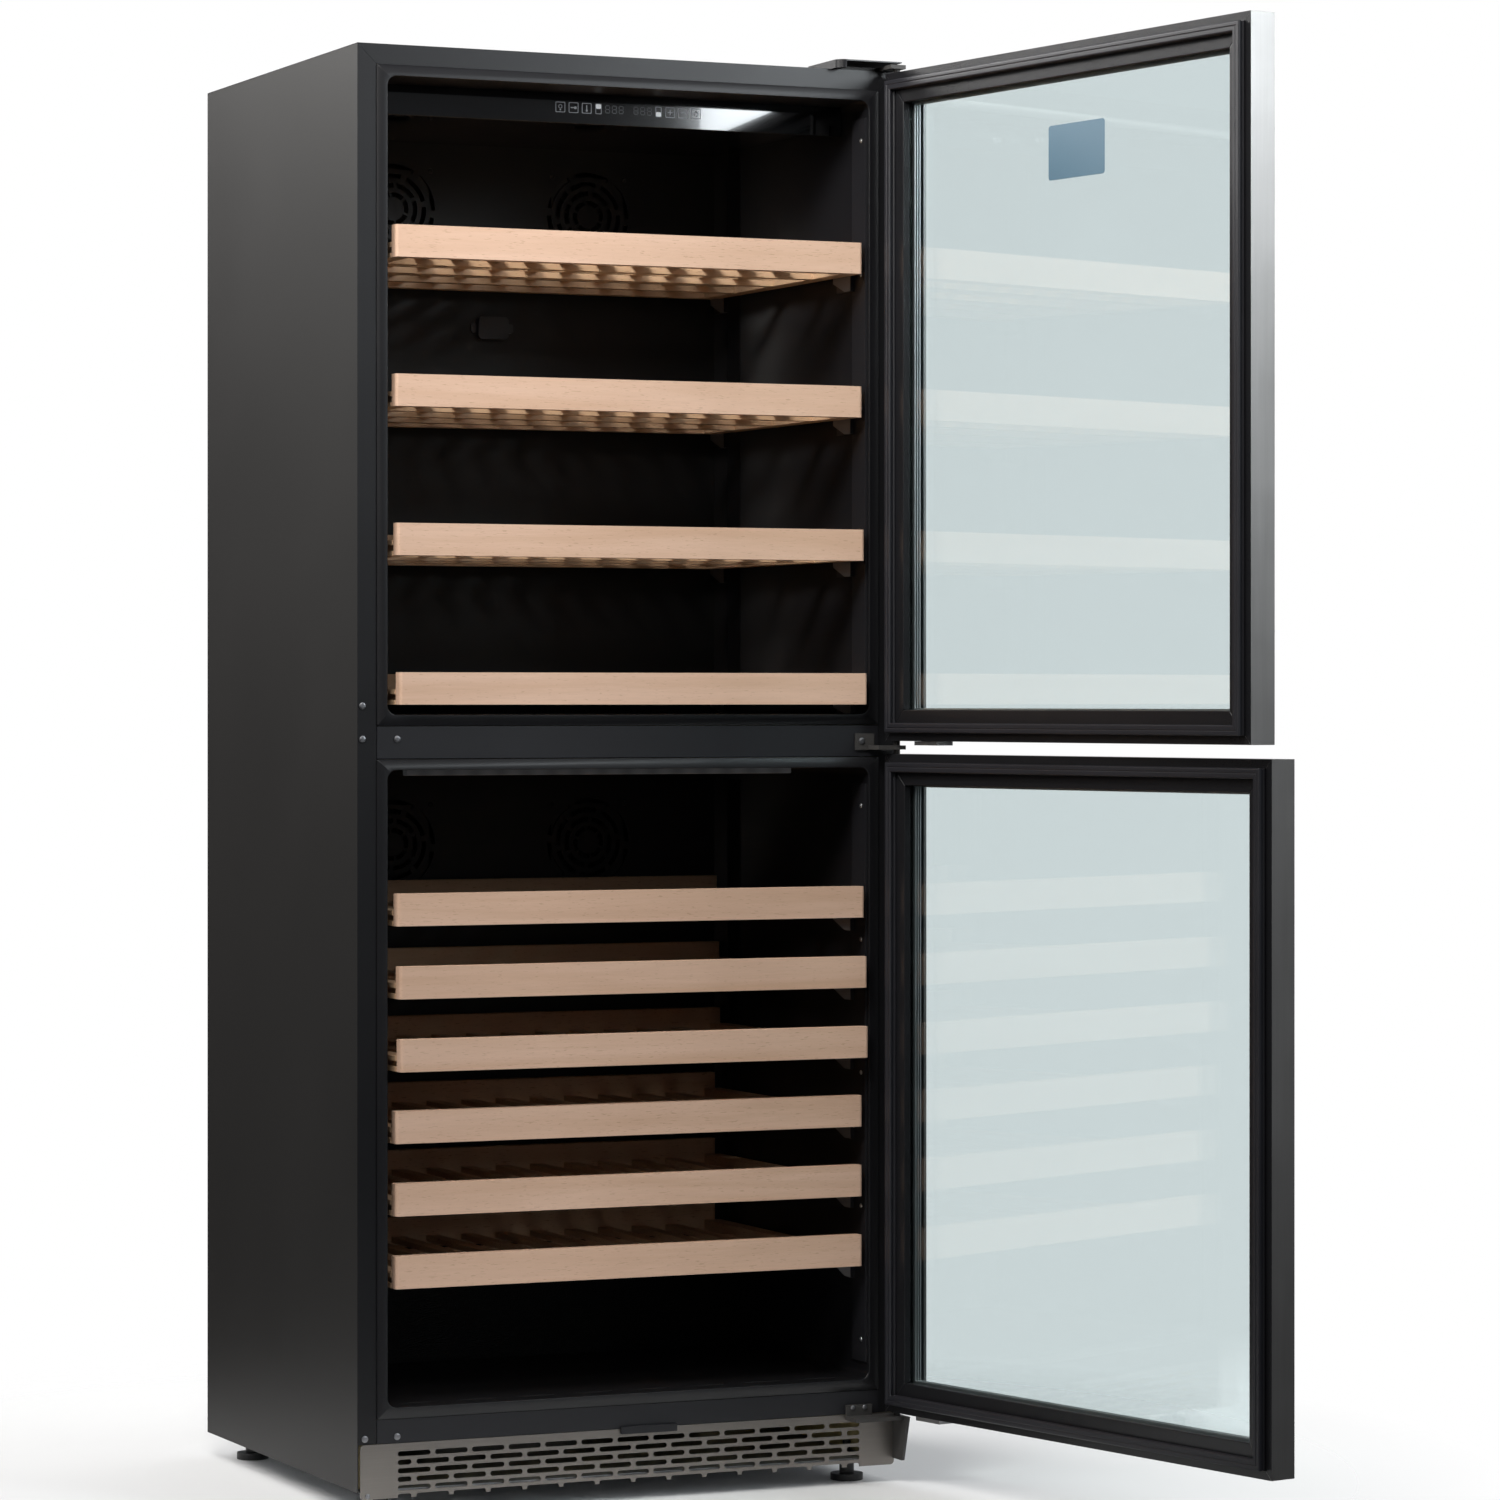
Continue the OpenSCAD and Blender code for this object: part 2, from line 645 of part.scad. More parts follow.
// Hinge brackets: top, middle and bottom, each with its pin.
module hinge_brackets() {
    y_arm = pin_y - 9;
    plate_x = open_w + 6;
    color([0.22, 0.22, 0.23]) {
        // top: a strap on the cabinet's top with its pin down into the upper door
        block([pin_x - 60, y_front + 8, top_z + joint], [pin_x + 8, y_front + 60, top_z + hinge_t]);
        block([pin_x - 12, y_arm, top_z + joint], [pin_x + 8, y_front + 10, top_z + hinge_t]);
        translate([pin_x, pin_y, upper_door_z1 - pin_l])
            cylinder(r = pin_r, h = top_z + hinge_t - upper_door_z1 + pin_l - 1);
        // middle: an arm out of the divider with a pin up and a pin down
        block([plate_x - 25, y_front - 4, mullion_mid - 11],
              [plate_x, y_front - 1 - joint, mullion_mid + 9]);
        block([plate_x - 8, y_arm, door_line - hinge_t / 2],
              [pin_x + 8, y_front - 3, door_line + hinge_t / 2]);
        translate([pin_x, pin_y, lower_door_z1 - pin_l])
            cylinder(r = pin_r, h = upper_door_z0 - lower_door_z1 + 2 * pin_l);
        // bottom: a block on the sill, an arm with its pin up, and a gusset down its side
        bottom_z = lower_door_z0 - 10;
        block([plate_x - 38, y_front - 6, bottom_z], [plate_x - 4, y_front - 1.5 - joint, bottom_z + 18]);
        block([plate_x - 38, y_arm, bottom_z],
              [half_w - 1, y_front - 1.5 - joint, bottom_z + hinge_t]);
        translate([pin_x, pin_y, bottom_z]) cylinder(r = pin_r, h = 10 + pin_l);
        translate([half_w - 5, 0, 0]) rotate([90, 0, 90]) linear_extrude(4)
            polygon([[y_front - 1.5 - joint, bottom_z + hinge_t], [y_arm - 10, bottom_z + hinge_t],
                     [y_arm + 6, foot_h], [y_front - 1.5 - joint, foot_h]]);
    }
}

// Round-ended cover over the top hinge.
module hinge_cover() {
    wall = 1.5;
    h = hinge_t + 5;
    w = 86;
    x1 = half_w - 1;
    color([0.05, 0.05, 0.05]) difference() {
        translate([x1 - w, y_front - 20, top_z + joint]) linear_extrude(h) {
            translate([12, 0]) square([w - 12, 96]);
            translate([0, 12]) square([w, 72]);
            for (y = [12, 84]) translate([12, y]) circle(r = 12);
        }
        translate([x1 - w + wall + 10, y_front - 30, top_z + joint - 1])
            cube([w - wall - 10 + 4, 110, h - wall + 1]);
    }
}

// Screw heads and hole plugs on the front, low domes seen end on.
module front_screw(x, z, y, r) {
    translate([x, y, z]) rotate([90, 0, 0]) {
        cylinder(r = r, h = 1);
        translate([0, 0, 1 - eps]) cylinder(r1 = r, r2 = r * 0.6, h = 0.8);
    }
}

module frame_fasteners() {
    flange_x = half_w - 6;
    color([0.45, 0.45, 0.46]) {
        sill_z = lower_door_z0 + 4;
        for (z = [mullion_mid + 43, mullion_mid + 4]) front_screw(-flange_x, z, y_front - joint, 4);
        front_screw(-open_w + 12, mullion_mid + 4, y_front - 1 - joint, 4);
        front_screw(open_w - 11, mullion_mid, y_front - 4 - joint, 4);
        front_screw(-open_w + 12, sill_z, y_front - 1 - joint, 4);
        front_screw(-flange_x + 3, sill_z - 1, y_front - joint, 4);
        for (dx = [-24, -8]) front_screw(open_w + dx, sill_z + 1, y_front - 6 - joint, 3);
        front_screw(-half_w + 12, foot_h - 4, y_front - 1.5 - joint, 3);
    }
}

// ---------------------------------------------------------------- doors

// Everything on a door is drawn closed and then swung about the hinge pins.
module swung(angle) {
    translate([pin_x, pin_y, 0]) rotate([0, 0, angle]) translate([-pin_x, -pin_y, 0]) children();
}

module pin_bores(z0, z1) {
    for (z = [z0 - 1, z1 - pin_l - 1])
        translate([pin_x, pin_y, z]) cylinder(r = pin_r + pin_gap, h = pin_l + 2);
}

// Four mitred stainless sides: a full-depth rim and a face leg over the glass.
module door_frame(z0, z1) {
    color([0.74, 0.74, 0.73]) difference() {
        for (side = [0 : 3]) {
            standing(door_y0, door_t) frame_side(-half_w, half_w, z0, z1, 0, door_rim, side);
            standing(door_y0, face_t - joint) frame_side(-half_w, half_w, z0, z1, 0, door_border, side);
        }
        pin_bores(z0, z1);
    }
}

// The black inner frame that clamps the glass.
module door_bead(z0, z1) {
    color([0.05, 0.05, 0.06]) for (side = [0 : 3])
        standing(glass_y1 + joint, bead_t - joint)
            frame_side(-half_w, half_w, z0, z1, door_rim + joint, door_border - door_rim - joint, side);
}

module door_gasket(z0, z1) {
    color([0.03, 0.03, 0.03]) for (side = [0 : 3])
        standing(door_y1 + joint, door_gap - lip_proud - gasket_gap - joint)
            frame_side(-half_w, half_w, z0, z1, gasket_inset, gasket_w, side);
}

// Sealed glass unit: two panes and the spacer bars between them.
module door_glass(z0, z1) {
    w = body_w - 2 * glass_edge;
    h = z1 - z0 - 2 * glass_edge;
    mid = (z0 + z1) / 2;
    color([0.75, 0.83, 0.83, 0.4]) {
        standing(glass_y1 - pane_t, pane_t) translate([0, mid]) square([w, h], center = true);
        standing(glass_y0 + joint, pane_t) translate([0, mid]) square([w, h], center = true);
    }
    color([0.55, 0.56, 0.57]) for (side = [0 : 3])
        standing(glass_y0 + pane_t + 2 * joint, glass_y1 - glass_y0 - 2 * pane_t - 3 * joint)
            frame_side(-half_w, half_w, z0, z1, glass_edge + 4, 14, side);
}

// Handle studs on the outer face, and the stop plate under the door.
module door_fittings(z0, z1) {
    mid = (z0 + z1) / 2;
    color([0.60, 0.61, 0.62]) {
        for (s = [-1, 1]) translate([-half_w + 12, door_y0 - joint, mid + s * stud_pitch / 2])
            rotate([90, 0, 0]) {
                cylinder(r = stud_r + 3, h = 1);
                cylinder(r = stud_r, h = stud_l + 1);
            }
        block([half_w - 104, door_y0 + 8, z0 - 5], [half_w - 58, door_y1 - 2, z0 - joint]);
    }
}

module upper_door(part) {
    swung(upper_open) {
        if (part == "frame") door_frame(upper_door_z0, upper_door_z1);
        if (part == "bead") door_bead(upper_door_z0, upper_door_z1);
        if (part == "gasket") door_gasket(upper_door_z0, upper_door_z1);
        if (part == "glass") door_glass(upper_door_z0, upper_door_z1);
        if (part == "fittings") door_fittings(upper_door_z0, upper_door_z1);
    }
}

module lower_door(part) {
    swung(lower_open) {
        if (part == "frame") door_frame(lower_door_z0, lower_door_z1);
        if (part == "bead") door_bead(lower_door_z0, lower_door_z1);
        if (part == "gasket") door_gasket(lower_door_z0, lower_door_z1);
        if (part == "glass") door_glass(lower_door_z0, lower_door_z1);
        if (part == "fittings") door_fittings(lower_door_z0, lower_door_z1);
    }
}

// ---------------------------------------------------------------- shelves

module shelf_front(n) {
    color([0.83, 0.69, 0.55])
        translate([0, shelf_y0 - pulled[n - 1] + board_t / 2, shelf_z(n)])
            linear_extrude(board_h) round_rect(board_w, board_t, 4);
}

// The deck of side beams, cross members and slats, and the back rail behind it.
module shelf_frame(n) {
    y0 = shelf_y0 + board_t + joint;
    y1 = shelf_y1 - board_t - joint;
    half = board_w / 2;
    in_half = half - beam_w;
    crosses = floor((y1 - slat_w - shelf_y0 - cross_first) / cross_pitch);
    slats = floor((2 * in_half - slat_w) / slat_pitch);
    color([0.80, 0.66, 0.52]) translate([0, -pulled[n - 1], shelf_z(n)]) {
        difference() {
            union() {
                for (s = [-1, 1])
                    block([s > 0 ? in_half : -half, y0, 0], [s > 0 ? half : -in_half, y1, beam_h]);
                for (i = [0 : crosses]) {
                    y = shelf_y0 + cross_first + i * cross_pitch;
                    block([-in_half - eps, y, 0], [in_half + eps, y + slat_w, slat_h]);
                }
                for (i = [0 : slats - 1]) {
                    x = (i - (slats - 1) / 2) * slat_pitch;
                    block([x - slat_w / 2, y0, slat_h - eps], [x + slat_w / 2, y1, 2 * slat_h]);
                }
            }
            for (s = [-1, 1])
                block([s > 0 ? half - groove_d : -half - 1, y0 - 1, runner_z - groove_gap],
                      [s > 0 ? half + 1 : -half + groove_d, y1 + 1, runner_z + runner_h + groove_gap]);
        }
        translate([0, y1 + joint + board_t / 2, 0]) linear_extrude(board_h)
            round_rect(2 * (half - groove_d - 1), board_t, 3);
    }
}

// ---------------------------------------------------------------- nodes

side_panel(-1);  // side_panel_left
side_panel(1);  // side_panel_right
top_panel();
rear_panel();
base_tray();
insulation();
upper_liner();
lower_liner();
front_trims();
upper_duct_cover();
lower_duct_cover();
support_strips();
shelf_runners();
control_panel();
lamps();
evaporators();
fan_housings();
compressor();
condenser();
plinth_grille();
levelling_feet();
hinge_brackets();
hinge_cover();
frame_fasteners();
power_inlet();
circulation_rotor(-1, upper_z1 - fan_drop);  // upper_left_rotor
circulation_rotor(1, upper_z1 - fan_drop);  // upper_right_rotor
circulation_rotor(-1, lower_z1 - fan_drop + 8);  // lower_left_rotor
circulation_rotor(1, lower_z1 - fan_drop + 8);  // lower_right_rotor
condenser_fan_place() rotor(blower_r);  // condenser_rotor
upper_door("frame");  // upper_door_frame
upper_door("bead");  // upper_door_bead
upper_door("gasket");  // upper_door_gasket
upper_door("glass");  // upper_door_glass
upper_door("fittings");  // upper_door_fittings
lower_door("frame");  // lower_door_frame
lower_door("bead");  // lower_door_bead
lower_door("gasket");  // lower_door_gasket
lower_door("glass");  // lower_door_glass
lower_door("fittings");  // lower_door_fittings
shelf_front(1);  // shelf_1_front
shelf_frame(1);  // shelf_1_frame
shelf_front(2);  // shelf_2_front
shelf_frame(2);  // shelf_2_frame
shelf_front(3);  // shelf_3_front
shelf_frame(3);  // shelf_3_frame
shelf_front(4);  // shelf_4_front
shelf_frame(4);  // shelf_4_frame
shelf_front(5);  // shelf_5_front
shelf_frame(5);  // shelf_5_frame
shelf_front(6);  // shelf_6_front
shelf_frame(6);  // shelf_6_frame
shelf_front(7);  // shelf_7_front
shelf_frame(7);  // shelf_7_frame
shelf_front(8);  // shelf_8_front
shelf_frame(8);  // shelf_8_frame
shelf_front(9);  // shelf_9_front
shelf_frame(9);  // shelf_9_frame
shelf_front(10);  // shelf_10_front
shelf_frame(10);  // shelf_10_frame
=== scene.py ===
"""Looks for a two-zone wine cooler.

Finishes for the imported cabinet, doors and shelves, and the small pieces on them.

Metres, Z up, doors to -Y, the origin on the floor under the middle of the cabinet."""

import json
import math

import bmesh
import bpy
from mathutils import Matrix, Vector


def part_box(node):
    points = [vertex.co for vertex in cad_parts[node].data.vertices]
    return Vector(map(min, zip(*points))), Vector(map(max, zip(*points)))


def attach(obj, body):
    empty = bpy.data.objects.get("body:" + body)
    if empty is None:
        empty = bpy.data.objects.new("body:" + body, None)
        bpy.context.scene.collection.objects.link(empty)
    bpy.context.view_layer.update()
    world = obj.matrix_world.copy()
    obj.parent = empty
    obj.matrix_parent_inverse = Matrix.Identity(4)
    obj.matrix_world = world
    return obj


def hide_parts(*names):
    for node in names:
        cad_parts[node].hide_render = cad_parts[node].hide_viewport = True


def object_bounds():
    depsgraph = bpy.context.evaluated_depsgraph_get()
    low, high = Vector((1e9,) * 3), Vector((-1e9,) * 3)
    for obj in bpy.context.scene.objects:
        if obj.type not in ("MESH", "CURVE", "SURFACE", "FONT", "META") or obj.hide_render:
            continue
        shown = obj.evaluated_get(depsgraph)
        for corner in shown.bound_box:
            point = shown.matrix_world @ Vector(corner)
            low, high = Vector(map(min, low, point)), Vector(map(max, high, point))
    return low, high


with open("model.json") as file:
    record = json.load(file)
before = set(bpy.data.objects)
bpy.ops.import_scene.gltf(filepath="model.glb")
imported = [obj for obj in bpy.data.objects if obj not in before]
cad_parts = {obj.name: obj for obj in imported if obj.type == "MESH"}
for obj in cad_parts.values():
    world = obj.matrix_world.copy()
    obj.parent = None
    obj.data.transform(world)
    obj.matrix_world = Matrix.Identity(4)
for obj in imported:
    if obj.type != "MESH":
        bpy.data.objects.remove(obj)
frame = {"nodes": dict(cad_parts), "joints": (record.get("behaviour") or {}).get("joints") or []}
cad_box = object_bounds()

MM = 0.001
NODES = frame["nodes"]
ZONES = ("upper", "lower")
SHELVES = range(1, 11)


# ---------------------------------------------------------------- shader maths

class Signal:
    """A number or colour that varies over a surface. Operators on it add Math nodes."""

    def __init__(self, finish, socket):
        self.finish = finish
        self.socket = socket

    def _math(self, operation, first, second=None):
        inputs = {0: first} if second is None else {0: first, 1: second}
        return self.finish.node("ShaderNodeMath", {"operation": operation}, inputs)

    def __add__(self, other):
        return self._math("ADD", self, other)

    def __radd__(self, other):
        return self._math("ADD", other, self)

    def __sub__(self, other):
        return self._math("SUBTRACT", self, other)

    def __rsub__(self, other):
        return self._math("SUBTRACT", other, self)

    def __mul__(self, other):
        return self._math("MULTIPLY", self, other)

    def __rmul__(self, other):
        return self._math("MULTIPLY", other, self)

    def __truediv__(self, other):
        return self._math("DIVIDE", self, other)

    def __pow__(self, other):
        return self._math("POWER", self, other)

    def clip(self):
        return self.finish.node("ShaderNodeClamp", {}, {"Value": self})


class Finish:
    """A material built around one Principled shader."""

    def __init__(self, name, **constants):
        self.material = bpy.data.materials.new(name)
        self.material.use_nodes = True
        self.tree = self.material.node_tree
        self.shader = self.tree.nodes["Principled BSDF"]
        for socket, value in constants.items():
            self.shader.inputs[socket.replace("_", " ")].default_value = value

    def node(self, kind, settings=None, inputs=None, output=0):
        made = self.tree.nodes.new(kind)
        for key, value in (settings or {}).items():
            if key == "stops":
                ramp = made.color_ramp.elements
                while len(ramp) < len(value):
                    ramp.new(0.5)
                for element, (place, colour) in zip(ramp, value):
                    element.position = place
                    element.color = (*colour, 1)
            else:
                setattr(made, key, value)
        for key, value in (inputs or {}).items():
            self.feed(made.inputs[key], value)
        return Signal(self, made.outputs[output])

    def feed(self, socket, value):
        if isinstance(value, Signal):
            self.tree.links.new(value.socket, socket)
        else:
            socket.default_value = value

    def place(self, scale=(1, 1, 1), turn=0.0):
        """The point on the surface in metres, turned about Z and then scaled along each axis."""
        point = self.node("ShaderNodeTexCoord", output=3)
        if turn:
            point = self.node("ShaderNodeMapping", {}, {"Vector": point, "Rotation": (0, 0, turn)})
        return self.node("ShaderNodeVectorMath", {"operation": "MULTIPLY"}, {0: point, 1: scale})

    def axis(self, point, index):
        return self.node("ShaderNodeSeparateXYZ", {}, {0: point}, output=index)

    def noise(self, point, scale=1.0, detail=2.0, rough=0.5, bend=0.0):
        return self.node("ShaderNodeTexNoise", {}, {
            "Vector": point, "Scale": scale, "Detail": detail, "Roughness": rough, "Distortion": bend})

    def cells(self, point, scale=1.0, feature="F1", output=0):
        return self.node("ShaderNodeTexVoronoi", {"feature": feature},
                         {"Vector": point, "Scale": scale}, output=output)

    def ramp(self, factor, *stops):
        return self.node("ShaderNodeValToRGB", {"stops": stops}, {"Fac": factor})

    def blend(self, factor, first, second, mode="MIX"):
        colour = lambda c: c if isinstance(c, Signal) else (*c, 1)
        made = self.tree.nodes.new("ShaderNodeMix")
        made.data_type = "RGBA"
        made.blend_type = mode
        self.feed(made.inputs[0], factor)
        self.feed(made.inputs[6], colour(first))
        self.feed(made.inputs[7], colour(second))
        return Signal(self, made.outputs[2])

    def colour(self, value):
        self.feed(self.shader.inputs["Base Color"], value if isinstance(value, Signal) else (*value, 1))

    def rough(self, value):
        self.feed(self.shader.inputs["Roughness"], value)

    def see_through(self, share, tint=(1, 1, 1)):
        """Lets what lies behind show through by a share, with a tint."""
        through = self.tree.nodes.new("ShaderNodeBsdfTransparent")
        self.feed(through.inputs["Color"], tint if isinstance(tint, Signal) else (*tint, 1))
        mix = self.tree.nodes.new("ShaderNodeMixShader")
        self.feed(mix.inputs[0], share)
        self.tree.links.new(self.shader.outputs[0], mix.inputs[1])
        self.tree.links.new(through.outputs[0], mix.inputs[2])
        self.tree.links.new(mix.outputs[0], self.tree.nodes["Material Output"].inputs["Surface"])

    def bump(self, height, depth, strength=1.0):
        bumped = self.node("ShaderNodeBump", {},
                           {"Height": height, "Distance": depth, "Strength": strength})
        self.feed(self.shader.inputs["Normal"], bumped)


# ---------------------------------------------------------------- finishes

def painted_steel(name, dark, light, rough, ior=1.28):
    """Powder paint: fine orange peel, faint cloudiness and a little dust."""
    f = Finish(name, IOR=ior)
    at = f.place()
    cloud = f.noise(at, 3.0, 4.0, 0.6)
    peel = f.noise(at, 520.0, 2.0, 0.5)
    specks = f.noise(at, 1400.0, 1.0, 0.5)
    f.colour(f.blend(cloud * 0.6 + specks * 0.4, dark, light))
    f.rough(rough + cloud * 0.08 + specks * 0.06)
    f.bump(peel + specks * 0.4, 0.00006)
    return f.material


def moulded_plastic(name, dark, light, rough, grain=900.0, depth=0.00004):
    """Moulded plastic with an etched grain."""
    f = Finish(name, IOR=1.49)
    at = f.place()
    cloud = f.noise(at, 6.0, 3.0, 0.55)
    etched = f.noise(at, grain, 2.0, 0.6)
    f.colour(f.blend(cloud * 0.7 + etched * 0.3, dark, light))
    f.rough(rough + etched * 0.10 + cloud * 0.05)
    f.bump(etched, depth)
    return f.material


def brushed_steel(name, dark, light, along, turn=0.0, rough=0.24, lines=1500.0):
    """Stainless steel with fine lines that run along one axis."""
    stretch = {"x": (12, lines, lines), "y": (lines, 12, lines), "z": (lines, lines, 12)}[along]
    f = Finish(name, Metallic=1.0)
    fine = f.noise(f.place(stretch, turn), 1.0, 3.0, 0.7)
    broad = f.noise(f.place(tuple(s / 9 for s in stretch), turn), 1.0, 2.0, 0.5)
    smudge = f.noise(f.place(), 7.0, 4.0, 0.6)
    f.colour(f.blend(fine * 0.55 + broad * 0.3 + smudge * 0.15, dark, light))
    f.rough(rough + fine * 0.14 + smudge * 0.10)
    f.bump(fine + broad * 0.5, 0.00002)
    return f.material


def zinc_plate(name):
    """Galvanised sheet with its spangle."""
    f = Finish(name, Metallic=0.9)
    at = f.place()
    spangle = f.axis(f.cells(at, 90.0, output=1), 0)
    cloud = f.noise(at, 5.0, 3.0, 0.6)
    f.colour(f.blend(spangle * 0.6 + cloud * 0.4, (0.30, 0.31, 0.32), (0.52, 0.53, 0.55)))
    f.rough(0.34 + spangle * 0.16)
    f.bump(spangle, 0.00003)
    return f.material


def beech(name, along, pale, deep, fleck_strength, rough=0.42):
    """Lacquered beech: straight fibres, soft growth bands and the short dark flecks of its rays."""
    spread = {"x": (1.0, 16.0, 16.0), "y": (16.0, 1.0, 16.0)}[along]
    fleck_spread = {"x": (110.0, 900.0, 900.0), "y": (900.0, 110.0, 900.0)}[along]
    f = Finish(name, IOR=1.45, Coat_Roughness=0.3)
    grown = f.place(spread)
    band = f.noise(grown, 2.2, 5.0, 0.55, 0.6)
    fibre = f.noise(f.place(tuple(s * 22 for s in spread)), 1.6, 3.0, 0.6)
    fleck = f.noise(f.place(fleck_spread), 1.0, 1.0, 0.4)
    blotch = f.noise(f.place(tuple(s * 0.35 for s in spread)), 4.0, 2.0, 0.5)
    wood = f.blend(f.ramp(band, (0.34, (0, 0, 0)), (0.66, (1, 1, 1))), pale, deep)
    wood = f.blend(fibre * 0.35, wood, tuple(c * 0.72 for c in deep))
    wood = f.blend((blotch - 0.4).clip() * 0.5, wood, tuple(c * 1.06 for c in pale))
    fleck_mask = f.ramp(fleck, (0.66, (0, 0, 0)), (0.72, (1, 1, 1)))
    wood = f.blend(fleck_mask * fleck_strength, wood, (0.30, 0.155, 0.075))
    f.colour(wood)
    f.rough(rough + fibre * 0.12 - fleck_mask * 0.05)
    f.bump(fibre + fleck_mask * -0.6, 0.00008)
    return f.material


def foam_slab(name):
    f = Finish(name)
    at = f.place()
    cell = f.cells(at, 700.0)
    f.colour(f.blend(f.noise(at, 8.0, 4.0), (0.62, 0.50, 0.24), (0.78, 0.68, 0.40)))
    f.rough(0.85 + cell * 0.1)
    f.bump(cell, 0.0004)
    return f.material


def clear_glass(name, body, low, high, head_on=0.05):
    """A pane: the back shows through a pale tint, and the surface mirrors more at a glance."""
    f = Finish(name, Metallic=1.0)
    at = f.place()
    haze = f.noise(at, 9.0, 4.0, 0.6)
    f.colour(f.blend(haze, low, high))
    f.rough(0.012 + (haze - 0.45).clip() * 0.02)
    glance = f.node("ShaderNodeLayerWeight", {}, {"Blend": 0.5}, output=1)
    mirrored = head_on + (1 - head_on) * glance ** 5
    f.see_through(1 - mirrored, body)
    return f.material


def black_glass(name):
    """The control panel's fascia: glossy black with faint wiping marks."""
    f = Finish(name, IOR=1.52, Coat_Roughness=0.02, Coat_Weight=0.6)
    wiped = f.noise(f.place((4, 4, 30)), 1.0, 4.0, 0.6)
    f.colour(f.blend(wiped, (0.004, 0.004, 0.005), (0.010, 0.010, 0.012)))
    f.rough(0.05 + wiped * 0.05)
    return f.material


def lamp_cover(name, colour, strength):
    f = Finish(name, Emission_Strength=strength)
    dots = f.node("ShaderNodeTexWave", {}, {"Vector": f.place(), "Scale": 9.5, "Detail": 1.0})
    f.colour(f.blend(dots, (0.10, 0.10, 0.11), (0.16, 0.16, 0.17)))
    f.rough(0.35 + dots * 0.1)
    f.feed(f.shader.inputs["Emission Color"], f.blend(dots, tuple(c * 0.8 for c in colour), colour))
    return f.material


def printed_mark(name, dark, light, glow):
    """Back-lit print on the fascia."""
    f = Finish(name, Emission_Strength=glow)
    cloud = f.noise(f.place(), 260.0, 2.0)
    f.colour(f.blend(cloud, dark, light))
    f.rough(0.3 + cloud * 0.1)
    f.feed(f.shader.inputs["Emission Color"], f.blend(cloud, dark, light))
    return f.material


def soft_rubber(name, dark, light):
    """Gasket vinyl: smooth, slightly greasy, with fine lines from its die."""
    f = Finish(name, IOR=1.5)
    at = f.place()
    cloud = f.noise(at, 11.0, 3.0)
    line = f.noise(f.place((900, 900, 9)), 1.0, 2.0)
    f.colour(f.blend(cloud * 0.6 + line * 0.4, dark, light))
    f.rough(0.36 + cloud * 0.12 + line * 0.05)
    f.bump(line, 0.00003)
    return f.material


CABINET_STEEL = painted_steel("cabinet_steel", (0.013, 0.0122, 0.0116), (0.022, 0.0205, 0.0195), 0.36)
# Front flanges: a darker, bluer copy of the cabinet paint, painted shade on the front faces of the same
# sheet; it is also made glossier.
SHADED_FLANGE_PAINT = painted_steel("flange_paint", (0.0055, 0.0055, 0.0065), (0.0100, 0.0100, 0.0115), 0.27, 1.45)
ZINC = zinc_plate("galvanised_steel")
LINER = moulded_plastic("liner", (0.005, 0.005, 0.006), (0.009, 0.009, 0.011), 0.30, 700.0)
TRIM = moulded_plastic("trim", (0.006, 0.006, 0.008), (0.010, 0.010, 0.013), 0.38)
BACK_COVER = moulded_plastic("back_cover", (0.006, 0.006, 0.007), (0.010, 0.010, 0.011), 0.42)
SUPPORT = moulded_plastic("support_plastic", (0.010, 0.010, 0.012), (0.017, 0.017, 0.020), 0.30)
# Shelf brackets: a lighter grey copy of the strip plastic, painted light standing in for light that the lamps
# don't bring to them.
BRACKET_PAINTED_LIGHT = moulded_plastic("bracket_plastic", (0.17, 0.175, 0.19), (0.23, 0.235, 0.25), 0.30)
SENSOR = moulded_plastic("sensor_plastic", (0.022, 0.022, 0.025), (0.034, 0.034, 0.038), 0.26)
FAN_PLASTIC = moulded_plastic("fan_plastic", (0.010, 0.010, 0.010), (0.018, 0.018, 0.018), 0.45)
COVER_PLASTIC = moulded_plastic("cover_plastic", (0.007, 0.007, 0.008), (0.012, 0.012, 0.014), 0.24)
INLET_PLASTIC = moulded_plastic("inlet_plastic", (0.008, 0.008, 0.008), (0.013, 0.013, 0.013), 0.5)
BEAD = moulded_plastic("bead", (0.007, 0.007, 0.008), (0.013, 0.013, 0.015), 0.22, 800.0)
GASKET = soft_rubber("gasket", (0.010, 0.010, 0.013), (0.018, 0.018, 0.023))
RUBBER = soft_rubber("foot_rubber", (0.011, 0.011, 0.011), (0.024, 0.024, 0.024))
RUNNER_STEEL = brushed_steel("runner_steel", (0.42, 0.43, 0.45), (0.60, 0.61, 0.63), "y", rough=0.30)
EVAPORATOR = brushed_steel("evaporator", (0.50, 0.52, 0.54), (0.66, 0.68, 0.70), "x", rough=0.32, lines=500.0)
PLINTH_STEEL = brushed_steel("plinth_steel", (0.22, 0.20, 0.185), (0.33, 0.305, 0.28), "x", rough=0.28)
DOOR_STEEL = brushed_steel("door_steel", (0.42, 0.41, 0.40), (0.62, 0.61, 0.60), "z", rough=0.22)
DOOR_RAIL_STEEL = brushed_steel("door_rail_steel", (0.42, 0.41, 0.40), (0.62, 0.61, 0.60), "y", 0.17, 0.22)
HINGE_STEEL = painted_steel("hinge_steel", (0.035, 0.034, 0.033), (0.075, 0.072, 0.070), 0.28)
FITTING_STEEL = brushed_steel("fitting_steel", (0.45, 0.45, 0.46), (0.62, 0.62, 0.63), "z", rough=0.25)
SCREW = brushed_steel("screw", (0.20, 0.20, 0.21), (0.34, 0.34, 0.36), "x", rough=0.30, lines=900.0)
BRIGHT_SCREW = brushed_steel("bright_screw", (0.55, 0.56, 0.58), (0.78, 0.79, 0.80), "x",
                             rough=0.22, lines=900.0)
COMPRESSOR = painted_steel("compressor", (0.008, 0.008, 0.008), (0.016, 0.016, 0.016), 0.30)
